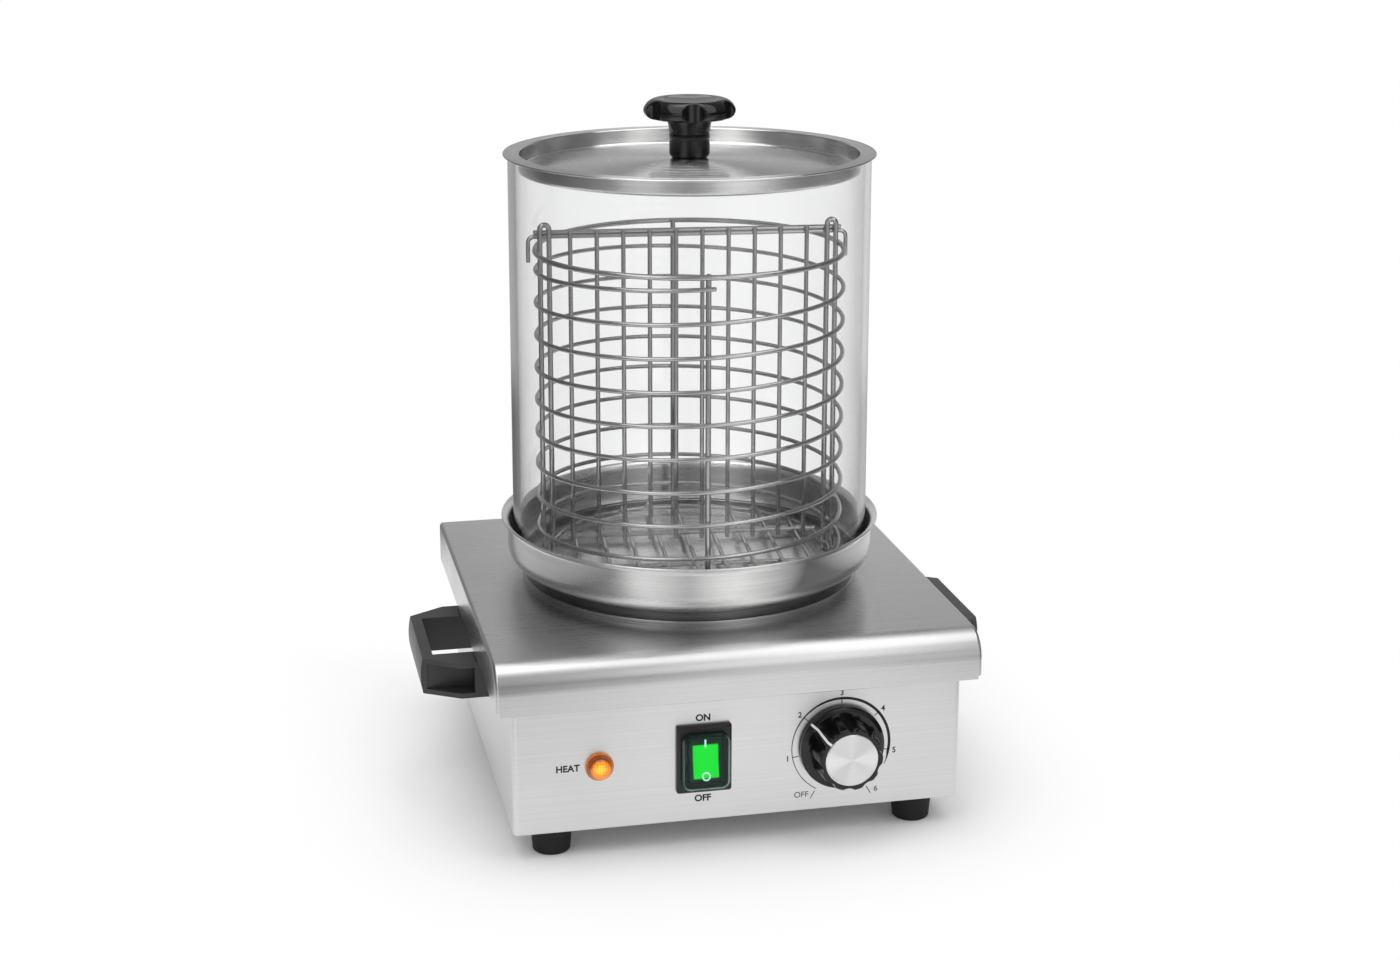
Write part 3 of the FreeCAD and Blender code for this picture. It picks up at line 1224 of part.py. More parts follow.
def make_pan_and_glass():
    pan = body("water_pan")
    t = d.pan_sheet
    wall = d.pan_wall
    r = d.pan_round
    flare = d.pan_flare
    rim = plate_top + d.pan_height
    revolve(pan, [
        (ZERO, plate_top), (wall - r, plate_top), (wall, plate_top + r, r, "left"),
        (wall, rim - t - flare), (wall + flare, rim - t, flare, "right"), (wall + flare, rim),
        (wall - t, rim - t - flare, flare + t, "left"), (wall - t, plate_top + r),
        (wall - r, pan_floor, r - t, "right"), (ZERO, pan_floor),
    ])
    settle(pan, y=d.glass_back)

    glass = body("glass_cylinder")
    e = d.glass_edge
    inner = d.glass_radius - d.glass_wall
    revolve(glass, [
        (inner + e, glass_low), (d.glass_radius - e, glass_low), (d.glass_radius, glass_low + e),
        (d.glass_radius, glass_top - e), (d.glass_radius - e, glass_top), (inner + e, glass_top),
        (inner, glass_top - e), (inner, glass_low + e),
    ])
    settle(glass, y=d.glass_back)


# The lower edge of the glass rests on the round inner corner of the pan
corner_x = d.glass_radius - d.glass_edge - (d.pan_wall - d.pan_round)
corner_r = d.pan_round - d.pan_sheet
glass_low = plate_top + d.pan_round - root(corner_r * corner_r - corner_x * corner_x) + d.seat_gap
glass_top = glass_low + d.glass_height
lid_top = glass_top + d.lid_sheet
lid_floor = lid_top - d.lid_depth
lid_centre = lid_floor + d.lid_dome


def make_lid():
    t = d.lid_sheet
    lid = body("lid_pan")
    hole = d.lid_screw_radius + d.screw_gap
    r = d.lid_round
    edge = d.lid_well - r
    dome = crown_radius(edge, d.lid_dome)
    revolve(lid, [
        (hole, lid_centre - t), (edge, lid_floor - t, dome, "right"),
        (d.lid_well, lid_floor - t + r, r, "left"), (d.lid_well, glass_top), (d.lid_rim, glass_top),
        (d.lid_rim, lid_top), (d.lid_well, lid_top), (d.lid_well - t, lid_top - t, t, "left"),
        (d.lid_well - t, lid_floor - t + r), (edge, lid_floor, r - t, "right"),
        (hole, lid_centre, dome, "left"),
    ])
    settle(lid, y=d.glass_back)

    knob = body("lid_knob")
    under_head = d.lid_knob_under
    bore = d.lid_screw_radius + d.screw_gap
    depth = d.lid_screw_length + d.seat_gap
    rise = d.lid_knob_top - d.lid_knob_waist
    drop = d.lid_knob_waist - under_head
    shoulder = d.lid_knob_radius - d.lid_knob_rim
    hem = d.lid_knob_radius - d.lid_knob_lower
    upper = root(shoulder * shoulder + rise * rise)
    lower = root(hem * hem + drop * drop)
    revolve(knob, [
        (bore, ZERO), (d.lid_knob_foot, ZERO), (d.lid_knob_collar, d.lid_knob_chamfer),
        (d.lid_knob_collar, d.lid_knob_collar_height), (d.lid_knob_neck, under_head),
        (d.lid_knob_lower, under_head), (d.lid_knob_radius, d.lid_knob_waist, lower * 0.72, "left"),
        (d.lid_knob_rim, d.lid_knob_top, upper * 0.78, "left"), (d.lid_knob_dish, d.lid_knob_top),
        (ZERO, d.lid_knob_top - d.lid_knob_dish_depth), (ZERO, depth), (bore, depth),
    ])
    centre = d.lid_knob_radius + d.lid_notch_radius - d.lid_notch_depth
    outline = draw(knob, "XY_Plane", circles=[(ZERO, -centre, d.lid_notch_radius)], lift=d.lid_knob_top)
    repeat_round(knob, pocket(knob, outline, d.lid_knob_top - under_head + PAST), d.lid_notch_count)
    settle(knob, ZERO, d.glass_back, lid_centre, FreeCAD.Rotation(V(0, 0, 1), d.lid_knob_turn.value))

    low = lid_centre - t - d.touch_gap
    length = t + d.touch_gap + d.lid_screw_length
    fixing = screw(d.lid_screw_head, d.lid_screw_head_height, d.lid_screw_radius, length,
                   ZERO, d.glass_back, low, "+z")
    piece(fixing, "lid_screw")


# Middle radii of the basket's wires
post_radius = d.coil_radius - d.coil_wire - d.post_wire - d.touch_gap
ear_inner = post_radius - 2 * d.ear_bend
low_ring = post_radius - 2 * d.post_wire + d.weld_bite
bar_back = d.post_wire + d.coil_wire + d.run_gap
BASKET = FreeCAD.Rotation(V(0, 0, 1), d.basket_turn.value)


def into_basket(thing):
    """Moves a piece from the basket's own frame to its place on the pan's floor."""
    settle(thing, ZERO, d.glass_back, pan_floor, BASKET)


def make_basket_frame():
    """Upper and lower ring, two uprights bent to ears, and a front and a back upright."""
    wire = d.post_wire
    level = FreeCAD.Rotation()
    upright = FreeCAD.Rotation(V(1, 0, 0), 90)
    wires = [
        bent_ring(d.coil_radius, wire, Size(360, "360"), ZERO, ZERO, d.ring_height, level),
        bent_ring(low_ring, wire, Size(360, "360"), ZERO, ZERO, d.low_ring_height, level),
    ]
    leg = d.ear_height - d.ear_bend - wire
    for s in (-1, 1):
        wires.append(rod(wire, leg, s * post_radius, ZERO, ZERO))
        wires.append(rod(wire, leg, s * ear_inner, ZERO, ZERO))
        wires.append(bent_ring(d.ear_bend, wire, Size(180, "180"), s * (post_radius + ear_inner) / 2,
                               ZERO, leg, upright))
        wires.append(rod(wire, d.ring_height + wire, ZERO, s * post_radius, ZERO))
    frame = weld("basket_frame", wires)
    into_basket(frame)
    piece(frame, "basket_frame")


def arc_from(start, tangent, end):
    """Arc that leaves start along the tangent and ends at end."""
    chord = end - start
    along = V(chord).normalize()
    cosine = max(-1.0, min(1.0, tangent.dot(along)))
    away = tangent - along * cosine
    middle = start + chord / 2
    if away.Length > 1e-9:
        middle = middle + away.normalize() * (chord.Length / 2 * math.tan(math.acos(cosine) / 2))
    return Part.Arc(start, middle, end).toShape()


def biarc(p, tp, q, tq):
    """Two tangent arcs from p with tangent tp to q with tangent tq."""
    span = q - p
    total = tp + tq
    spread = 2 * (1 - tp.dot(tq))
    lean = span.dot(total)
    reach = (math.sqrt(lean * lean + spread * span.dot(span)) - lean) / spread
    joint = (p + q + (tp - tq) * reach) / 2
    second = arc_from(q, -tq, joint)
    ends = [second.Vertexes[-1].Point, second.Vertexes[0].Point]
    middle = second.valueAt((second.FirstParameter + second.LastParameter) / 2)
    return [arc_from(p, tp, joint), Part.Arc(ends[0], middle, ends[1]).toShape()]


def faceted_ring(radius, sides, centre, axis):
    """Closed outline of equal flat sides round an axis."""
    turn = FreeCAD.Rotation(V(0, 0, 1), axis)
    angles = [2 * math.pi * i / sides for i in range(sides)]
    corners = [centre + turn.multVec(V(radius * math.cos(a), radius * math.sin(a), 0)) for a in angles]
    return Part.makePolygon(corners + corners[:1])


def make_basket_coil():
    """Spiral wall of the basket: one wire that winds down clockwise, seen from above."""
    radius = d.coil_radius.value
    wire = d.coil_wire.value
    whole = 2 * math.pi * d.coil_turns.value
    fall = (d.coil_start.value - d.coil_end.value) / whole
    first = -math.radians(d.coil_overlap.value)

    def point(angle):
        return V(-radius * math.sin(angle), -radius * math.cos(angle), d.coil_start.value - fall * angle)

    def tangent(angle):
        return V(-radius * math.cos(angle), radius * math.sin(angle), -fall).normalize()

    quarters = int(d.coil_turns.value * 4)
    angles = [first + (whole - first) * i / quarters for i in range(quarters + 1)]
    edges = []
    for a, b in zip(angles, angles[1:]):
        edges += biarc(point(a), tangent(a), point(b), tangent(b))
    ring = faceted_ring(wire, int(d.coil_sides.value), point(first), tangent(first))
    coil = shaped("basket_coil", Part.Wire(edges).makePipeShell([ring], True, False))
    into_basket(coil)

    steps = 24
    line = [point(2 * math.pi * i / steps) for i in range(int(steps * d.coil_turns.value))]
    apart = min((p - q).Length for i, p in enumerate(line) for q in line[i + steps // 2:])
    print(f"basket_coil: least gap between turns {apart - 2 * wire:.2f} mm")


def make_basket_floor():
    """Grid of straight wires on the lower ring."""
    wire = d.coil_wire
    level = d.low_ring_height + d.post_wire + wire + d.run_gap
    count = int(d.floor_wire_count.value)
    wires = []
    for i in range(count):
        x = d.floor_wire_pitch * (i - (count - 1) / 2)
        half = root(low_ring * low_ring - x * x)
        wires.append(rod(wire, 2 * half, x, -half, level, "+y"))
    inside = low_ring - d.post_wire - d.seat_gap
    half = root(inside * inside - d.cross_wire_back * d.cross_wire_back) - wire
    for s in (-1, 1):
        wires.append(rod(wire, 2 * half, -half, s * d.cross_wire_back, level - 2 * wire + d.weld_bite, "+x"))
    grid = weld("basket_floor", wires)
    into_basket(grid)
    piece(grid, "basket_floor")


def make_basket_divider():
    """Flat wire grid across the basket, hung from two bars; the lower bar ends in hooks."""
    wire = d.coil_wire
    upper = d.divider_bar_height
    lower = upper - 2 * wire + d.weld_bite
    half = d.divider_bar_half
    straight = d.coil_radius + d.post_wire - wire
    hook_x = straight + d.hook_bend
    wires = [
        rod(wire, 2 * half, -half, bar_back, upper, "+x"),
        rod(wire, 2 * straight, -straight, bar_back, lower, "+x"),
        rod(wire, 2 * d.divider_low_half, -d.divider_low_half, bar_back, d.divider_low_bar, "+x"),
    ]
    for s, turn in ((1, FreeCAD.Rotation(V(1, 0, 0), 90)),
                    (-1, FreeCAD.Rotation(V(0, 0, 1), 180) * FreeCAD.Rotation(V(1, 0, 0), 90))):
        wires.append(bent_ring(d.hook_bend, wire, Size(90, "90"), s * straight, bar_back,
                               lower - d.hook_bend, turn))
        wires.append(rod(wire, d.hook_drop, s * hook_x, bar_back, lower - d.hook_bend, "-z"))
    count = int(d.divider_wire_count.value)
    row = bar_back - 2 * wire + d.weld_bite
    for i in range(count):
        x = d.divider_wire_pitch * (i - (count - 1) / 2)
        wires.append(rod(wire, upper + wire - d.divider_foot, x, row, d.divider_foot))
    divider = weld("basket_divider", wires)
    into_basket(divider)
    piece(divider, "basket_divider")


make_housing_shell()
make_base_plate()
make_back_panel()
make_top_cover()
make_housing_fasteners()
make_handles()
make_feet()
make_power_inlet()
make_heater()
make_sensors()
make_thermostat()
make_dial_knob()
make_switch()
make_lamp()
make_wiring()
make_pan_and_glass()
make_lid()
make_basket_frame()
make_basket_coil()
make_basket_floor()
make_basket_divider()

doc.recompute()
for thing in doc.Objects:
    if "Invalid" in thing.State or "Error" in thing.State:
        raise RuntimeError(f"{thing.Label} did not recompute: {thing.State}")
for thing in pieces:
    if thing.Shape.isNull() or not thing.Shape.isValid():
        raise RuntimeError(f"{thing.Label} has no valid shape")

os.makedirs("parts", exist_ok=True)
for thing in pieces:
    thing.Shape.exportStep(f"parts/{thing.Label}.step")
print(f"{len(pieces)} sub-parts written")
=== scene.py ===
import math

import bmesh
import bpy
import numpy as np
from bpy.props import FloatProperty, FloatVectorProperty, IntProperty, PointerProperty
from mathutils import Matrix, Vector


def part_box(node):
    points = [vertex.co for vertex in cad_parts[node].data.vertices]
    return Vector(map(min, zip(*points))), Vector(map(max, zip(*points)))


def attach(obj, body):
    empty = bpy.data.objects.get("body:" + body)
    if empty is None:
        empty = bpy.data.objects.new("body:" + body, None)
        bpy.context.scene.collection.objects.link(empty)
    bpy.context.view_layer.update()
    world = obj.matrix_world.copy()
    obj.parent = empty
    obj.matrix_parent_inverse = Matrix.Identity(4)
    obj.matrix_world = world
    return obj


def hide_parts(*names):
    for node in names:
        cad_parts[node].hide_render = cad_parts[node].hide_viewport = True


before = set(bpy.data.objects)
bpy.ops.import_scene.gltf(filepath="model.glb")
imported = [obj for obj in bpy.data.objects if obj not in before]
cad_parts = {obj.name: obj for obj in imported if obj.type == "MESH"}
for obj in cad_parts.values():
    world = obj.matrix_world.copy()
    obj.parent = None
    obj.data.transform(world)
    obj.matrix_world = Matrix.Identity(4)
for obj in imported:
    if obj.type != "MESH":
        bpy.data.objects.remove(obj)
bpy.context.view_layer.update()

bl_info = {
    "name": "Sausage Warmer Finish",
    "version": (1, 0, 0),
    "blender": (4, 5, 0),
    "location": "3D View > Sidebar > Warmer",
    "description": "Finished pieces, materials and studio for a counter-top sausage warmer",
    "category": "Object",
}

# All shapes are worked out in millimetres and put into the meshes in metres
MM = 0.001
WELD = 1e-6
GRAIN = "grain"


def reach(node):
    """Lowest and highest corner of a CAD node, in millimetres."""
    low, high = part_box(node)
    return np.array(low) / MM, np.array(high) / MM


GLASS_LOW, GLASS_HIGH = reach("glass_cylinder")
PAN_LOW, PAN_HIGH = reach("water_pan")
LID_LOW, LID_HIGH = reach("lid_pan")
TRIM_LOW, TRIM_HIGH = reach("trim_ring")
BOOT_LOW, BOOT_HIGH = reach("switch_boot")
AXIS = (GLASS_LOW + GLASS_HIGH)[:2] / 2
PANEL = reach("housing_shell")[0][1]
DIAL = sum(reach("knob_body")) / 2
SWITCH = sum(reach("switch_frame")) / 2
LAMP = sum(reach("lamp_lens")) / 2

# Thickness of the spun sheet, radius of a screw's head, and how far the basket is turned
SHEET = 0.9
SCREW_HEAD = 3.6
BASKET_TURN = math.radians(-5.5)

# Degrees between faces that count as one plane, at a hard edge and at an edge that is softened
ONE_PLANE = 0.5
HARD_EDGE = 30.0
SOFT_EDGE = 35.0


def length_field(name, description, size):
    return FloatProperty(name=name, description=description, default=size * MM, min=0.0, unit="LENGTH")


def colour_field(name, description, *colour):
    return FloatVectorProperty(
        name=name, description=description, default=colour, subtype="COLOR", min=0.0, max=1.0)


class WarmerSizes(bpy.types.PropertyGroup):
    """Sizes of the finish that a user may change."""

    sheet_edge: length_field("Sheet edge", "Softened edge of the steel sheet", 0.28)
    mould_edge: length_field("Moulded edge", "Softened edge of the moulded handles", 0.5)
    spiral_wire: length_field("Spiral wire", "Radius of the basket's thin wire", 1.25)
    post_wire: length_field("Post wire", "Radius of the basket's thick wire", 1.5)
    print_depth: length_field("Print depth", "Thickness of the ink on the front panel", 0.06)
    round_steps: IntProperty(
        name="Round steps", description="Faces round the spun pieces", default=192, min=24)


class WarmerColours(bpy.types.PropertyGroup):
    """Colours of the finish that a user may change."""

    steel: colour_field("Brushed steel", "Housing and cover", 0.67, 0.67, 0.67)
    bright: colour_field("Spun steel", "Pan, lid and trim ring", 0.80, 0.80, 0.795)
    wire: colour_field("Basket wire", "Drawn and polished wire", 0.60, 0.595, 0.59)
    handle: colour_field("Handle plastic", "Moulded side handles", 0.034, 0.034, 0.036)
    knob: colour_field("Knob plastic", "Glossy knobs", 0.004, 0.004, 0.0045)
    bezel: colour_field("Switch plastic", "Switch frame and inlet", 0.014, 0.013, 0.013)
    rubber: colour_field("Foot rubber", "Feet", 0.009, 0.009, 0.010)
    ink: colour_field("Panel ink", "Words and dial on the front panel", 0.016, 0.016, 0.017)
    lit_green: colour_field("Lit switch", "Window of the rocker", 0.0, 1.0, 0.035)
    lit_amber: colour_field("Lit lamp", "Lens of the pilot lamp", 0.96, 0.26, 0.004)


# Surfaces

def patch(points, wrap=False, loop=False):
    """Quads over a grid of points; wrap joins the last column to the first, loop the last row to the first.

    A corner's UV is the length of the way along its row and along its column. A face looks along
    the cross product of the way along a row and the way along a column.
    """
    points = np.asarray(points, float)
    number = np.arange(points.shape[0] * points.shape[1]).reshape(points.shape[:2])
    full = points
    if wrap:
        full = np.concatenate([full, full[:, :1]], 1)
        number = np.concatenate([number, number[:, :1]], 1)
    if loop:
        full = np.concatenate([full, full[:1]], 0)
        number = np.concatenate([number, number[:1]], 0)
    along = np.zeros(full.shape[:2])
    along[:, 1:] = np.cumsum(np.linalg.norm(np.diff(full, axis=1), axis=2), axis=1)
    up = np.zeros(full.shape[:2])
    up[1:] = np.cumsum(np.linalg.norm(np.diff(full, axis=0), axis=2), axis=0)

    def corners(grid):
        return np.stack([grid[:-1, :-1], grid[:-1, 1:], grid[1:, 1:], grid[1:, :-1]], 2)

    quads = corners(number).reshape(-1, 4)
    uv = np.stack([corners(along), corners(up)], 3).reshape(-1, 2)
    return points.reshape(-1, 3), quads, uv


def full_turn(steps):
    """Angles of equal steps round a circle, from 0 on."""
    return np.linspace(0, 2 * np.pi, steps, endpoint=False)


def arc(centre, radius, start, end, steps=7):
    """Points on a circle from one angle to another, in degrees: centre + radius (cos, sin)."""
    angle = np.radians(np.linspace(start, end, steps))
    return np.stack([centre[0] + radius * np.cos(angle), centre[1] + radius * np.sin(angle)], 1)


def bow(p, q, radius, hand=1, steps=9):
    """Arc of a given radius from p to q; its centre lies to the left of the way where hand is 1."""
    p = np.array(p, float)
    q = np.array(q, float)
    chord = q - p
    length = np.hypot(*chord)
    left = np.array([-chord[1], chord[0]]) / length
    centre = (p + q) / 2 + hand * left * math.sqrt(max(radius ** 2 - length ** 2 / 4, 0.0))
    start = math.degrees(math.atan2(*(p - centre)[::-1]))
    end = math.degrees(math.atan2(*(q - centre)[::-1]))
    sweep = (end - start) % 360 if hand > 0 else -((start - end) % 360)
    return arc(centre, radius, start, start + sweep, steps)


def outline(*parts):
    """One open profile from single points and runs of points."""
    return np.concatenate([np.atleast_2d(np.asarray(part, float)) for part in parts])


def held(profile):
    """Adds points near both ends of each long run, so that a wall is shaded flat up to its round edges."""
    near, long_run = 0.3, 2.4
    rows = [profile[:1]]
    for p, q in zip(profile, profile[1:]):
        length = np.hypot(*(q - p))
        stops = [near, length - near, length] if length > long_run else [length]
        share = np.array(stops)[:, None] / max(length, WELD)
        rows.append(p + (q - p) * share)
    return np.concatenate(rows)


def turned(profile, steps, limit=None, limited=None):
    """Profile of radius and level turned about the third axis: (r cos a, r sin a, level).

    The seam lies at the back. limit gives a radius for each angle, which the rows named by limited
    pass into by a smooth minimum.
    """
    angle = full_turn(steps) + np.pi / 2
    if limit is None:
        profile = held(profile)
    radius = profile[:, :1] + 0 * angle
    if limit is not None:
        radius = np.where(limited[:, None], smooth_min(radius, limit(angle)), radius)
    return np.stack([radius * np.cos(angle), radius * np.sin(angle), profile[:, 1:] + 0 * angle], 2)


def smooth_min(a, b, width=0.8):
    """Lesser of two values, rounded where they are closer than width: h(1 - h) width is taken off."""
    h = np.clip(0.5 + 0.5 * (b - a) / width, 0, 1)
    return b + (a - b) * h - width * h * (1 - h)


def scallops(count, distance, radius, first):
    """Limit of a radius by round cuts: a ray meets a circle at D cos t - sqrt(r r - D D sin t sin t)."""
    def limit(angle):
        pitch = 2 * np.pi / count
        t = (angle - math.radians(first) + pitch / 2) % pitch - pitch / 2
        inside = radius ** 2 - (distance * np.sin(t)) ** 2
        near = distance * np.cos(t) - np.sqrt(np.maximum(inside, 0))
        return np.where(inside > 0, near, 2 * distance)

    return limit


def upright(points, centre, level=0.0):
    """Puts a shape on an upright axis at a level."""
    return points + np.array([centre[0], centre[1], level])


def facing_front(points, centre):
    """Turns a shape's third axis to the front and puts it on the front panel: (x, y, z) to (x, -z, y)."""
    return np.stack([centre[0] + points[..., 0], PANEL - points[..., 2], centre[2] + points[..., 1]], -1)


def unit(vectors):
    return vectors / np.linalg.norm(vectors, axis=-1, keepdims=True)


def swept(path, across, section, closed=False, tip=0.3):
    """A closed section carried along a path, at path + u N + v B with N near across and B = T x N.

    Open ends are closed by a chamfer of the size tip and a pole.
    """
    path = np.asarray(path, float)
    section = np.asarray(section, float)
    if closed:
        tangent = unit(np.roll(path, -1, 0) - np.roll(path, 1, 0))
        scale = np.ones(len(path))
    else:
        tangent = unit(np.gradient(path, axis=0))
        start = path[0] + tip * tangent[0]
        end = path[-1] - tip * tangent[-1]
        path = np.concatenate([path[:1], path[:1], start[None], path[1:-1], end[None], path[-1:], path[-1:]])
        tangent = np.concatenate([tangent[:1], tangent[:1], tangent, tangent[-1:], tangent[-1:]])
        shrink = 1 - tip / np.abs(section).max()
        scale = np.ones(len(path))
        scale[[0, -1]] = 0.0
        scale[[1, -2]] = shrink
    across = np.asarray(across, float) + np.zeros_like(tangent)
    first = unit(across - tangent * (across * tangent).sum(1, keepdims=True))
    second = np.cross(tangent, first)
    points = (path[:, None] + scale[:, None, None]
              * (first[:, None] * section[None, :, :1] + second[:, None] * section[None, :, 1:]))
    return patch(points, wrap=True, loop=closed)


def ring_section(radius, sides=10):
    """Round section of a wire."""
    return arc((0, 0), radius, 0, 360 * (1 - 1 / sides), sides)


def flat_section(width, depth, edge=0.02):
    """Flat section of a line or a mark, with its face up and softened upper corners."""
    half = width / 2
    return np.array([(-half, 0), (half, 0), (half, depth - edge), (half - edge, depth),
                     (-half + edge, depth), (-half, depth - edge)])


def line(*points, steps=2):
    """Straight runs through points, each in equal steps."""
    points = np.asarray(points, float)
    runs = [np.linspace(p, q, steps)[:-1] for p, q in zip(points, points[1:])]
    return np.concatenate(runs + [points[-1:]])


# Pieces

def linked(name, data):
    """New object in the scene."""
    thing = bpy.data.objects.new(name, data)
    bpy.context.scene.collection.objects.link(thing)
    return thing


def seat(name, mesh, body, nodes=()):
    """Links a new piece, puts it on its body and hides the CAD nodes that it stands for."""
    thing = linked(name, mesh)
    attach(thing, body)
    if nodes:
        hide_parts(*nodes)
    return thing


def piece(name, patches, material, body, nodes=(), sharp=38.0):
    """One mesh from patches in millimetres, with seams and poles closed, on its body."""
    counts = np.cumsum([0] + [len(points) for points, _, _ in patches])
    points = np.concatenate([points for points, _, _ in patches]) * MM
    quads = np.concatenate([quads + first for first, (_, quads, _) in zip(counts, patches)])
    uv = np.concatenate([uv for _, _, uv in patches]) * MM
    mesh = bpy.data.meshes.new(name)
    mesh.vertices.add(len(points))
    mesh.vertices.foreach_set("co", points.ravel())
    mesh.loops.add(quads.size)
    mesh.loops.foreach_set("vertex_index", quads.ravel().astype(np.int32))
    mesh.polygons.add(len(quads))
    mesh.polygons.foreach_set("loop_start", np.arange(0, quads.size, 4, dtype=np.int32))
    mesh.uv_layers.new(name=GRAIN).data.foreach_set("uv", uv.ravel())
    mesh.update(calc_edges=True)
    weld(mesh)
    smooth(mesh, sharp)
    mesh.materials.append(material)
    seat(name, mesh, body, nodes)


def spun(name, shape, material, body, node, loop=False, sharp=38.0):
    """A closed row of profiles that is in place, as the piece that stands for one CAD node."""
    piece(name, [patch(shape, wrap=True, loop=loop)], material, body, (node,), sharp)


def weld(mesh):
    """Closes seams and poles, and drops the faces that vanish there."""
    work = bmesh.new()
    work.from_mesh(mesh)
    bmesh.ops.remove_doubles(work, verts=work.verts, dist=WELD)
    bmesh.ops.dissolve_degenerate(work, edges=work.edges, dist=WELD)
    work.to_mesh(mesh)
    work.free()


def smooth(mesh, sharp):
    mesh.shade_smooth()
    mesh.set_sharp_from_angle(angle=math.radians(sharp))


def read(items, key, width, kind=np.float32):
    """One attribute of a mesh's items, as rows of a given width."""
    values = np.zeros(len(items) * width, kind)
    items.foreach_get(key, values)
    return values.reshape(-1, width)


def unwrap_by_facing(mesh):
    """UV of each corner from the way its face looks: (y, z) to the sides, (x, z) to the front, (x, y) up."""
    corners = read(mesh.polygons, "loop_total", 1, np.int32)[:, 0]
    facing = np.repeat(np.abs(read(mesh.polygons, "normal", 3)).argmax(1), corners)
    place = read(mesh.vertices, "co", 3)[read(mesh.loops, "vertex_index", 1, np.int32)[:, 0]]
    u = np.where(facing == 0, place[:, 1], place[:, 0])
    v = np.where(facing == 2, place[:, 1], place[:, 2])
    mesh.uv_layers.new(name=GRAIN).data.foreach_set("uv", np.stack([u, v], 1).ravel())


def dressed(node, name, material, edge, body="base", steps=2, flat=True):
    """The CAD solid's own surface, merged and unwrapped, with softened edges.

    flat says whether faces of one plane are joined before their edges are softened.
    """
    work = bmesh.new()
    work.from_mesh(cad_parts[node].data)
    bmesh.ops.remove_doubles(work, verts=work.verts, dist=WELD)
    if edge and flat:
        bmesh.ops.dissolve_limit(
            work, angle_limit=math.radians(ONE_PLANE), verts=work.verts, edges=work.edges)
    mesh = bpy.data.meshes.new(name)
    work.to_mesh(mesh)
    work.free()
    unwrap_by_facing(mesh)
    smooth(mesh, HARD_EDGE)
    mesh.materials.append(material)
    thing = seat(name, mesh, body, (node,))
    if edge:
        bevel = thing.modifiers.new("Edge", "BEVEL")
        bevel.width = edge
        bevel.segments = steps
        bevel.limit_method = "ANGLE"
        bevel.angle_limit = math.radians(SOFT_EDGE)
        thing.modifiers.new("Normals", "WEIGHTED_NORMAL").keep_sharp = True


def coat_nodes(material, *nodes):
    """Gives CAD nodes that stay as they are a finish."""
    for name in nodes:
        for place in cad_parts[name].material_slots:
            place.material = material


# Shader nodes

def give(tree, socket, value):
    if isinstance(value, bpy.types.NodeSocket):
        tree.links.new(value, socket)
    else:
        socket.default_value = value


def feed(tree, node, inputs):
    """Links or sets inputs of a node."""
    for key, value in inputs.items():
        give(tree, node.inputs[key], value)


def add(tree, kind, inputs=None, **settings):
    """New node with its settings, and its inputs linked or set."""
    node = tree.nodes.new(kind)
    for key, value in settings.items():
        setattr(node, key, value)
    feed(tree, node, inputs or {})
    return node


def math_node(tree, operation, a, b=0.0):
    return add(tree, "ShaderNodeMath", {0: a, 1: b}, operation=operation).outputs[0]


def ranged(tree, value, low, high, start=0.0, end=1.0, kind="LINEAR"):
    """Value carried from one range to another and held at its ends."""
    inputs = {"Value": value, "From Min": start, "From Max": end, "To Min": low, "To Max": high}
    return add(tree, "ShaderNodeMapRange", inputs, interpolation_type=kind).outputs["Result"]


def eased(tree, value, start, end, low=0.0, high=1.0):
    """Smooth step from low to high between two places."""
    return ranged(tree, value, low, high, start, end, "SMOOTHSTEP")


def mixed(tree, factor, a, b):
    """Colour between two others, whose sockets are the seventh and the eighth."""
    return add(tree, "ShaderNodeMix", {0: factor, 6: a, 7: b}, data_type="RGBA").outputs[2]


def rgba(colour, gain=1.0):
    return tuple(min(c * gain, 1.0) for c in colour) + (1.0,)


def noise(tree, vector, scale, detail=2.0, roughness=0.55, dimensions="3D"):
    inputs = {"Vector": vector, "Scale": scale, "Detail": detail, "Roughness": roughness}
    return add(tree, "ShaderNodeTexNoise", inputs, noise_dimensions=dimensions).outputs[0]


def relief(tree, strength, depth, height):
    """Normal of a relief whose depth is given in millimetres."""
    inputs = {"Strength": strength, "Distance": depth * MM, "Height": height}
    return add(tree, "ShaderNodeBump", inputs).outputs[0]


def surface(tree, factor, a, b):
    """Ends a material in a mix of two shaders."""
    either = add(tree, "ShaderNodeMixShader", {0: factor, 1: a, 2: b}).outputs[0]
    give(tree, tree.nodes["Material Output"].inputs["Surface"], either)


def shared_group(name, inputs, outputs, fill):
    """Node group of this name, made and filled the first time that it is asked for."""
    if name in bpy.data.node_groups:
        return bpy.data.node_groups[name]
    group = bpy.data.node_groups.new(name, "ShaderNodeTree")
    for socket in inputs:
        kind = "NodeSocketVector" if socket == "Vector" else "NodeSocketFloat"
        group.interface.new_socket(name=socket, in_out="INPUT", socket_type=kind)
    for socket in outputs:
        group.interface.new_socket(name=socket, in_out="OUTPUT", socket_type="NodeSocketFloat")
    source = group.nodes.new("NodeGroupInput").outputs
    result = group.nodes.new("NodeGroupOutput")
    feed(group, result, dict(zip(outputs, fill(group, source))))
    return group


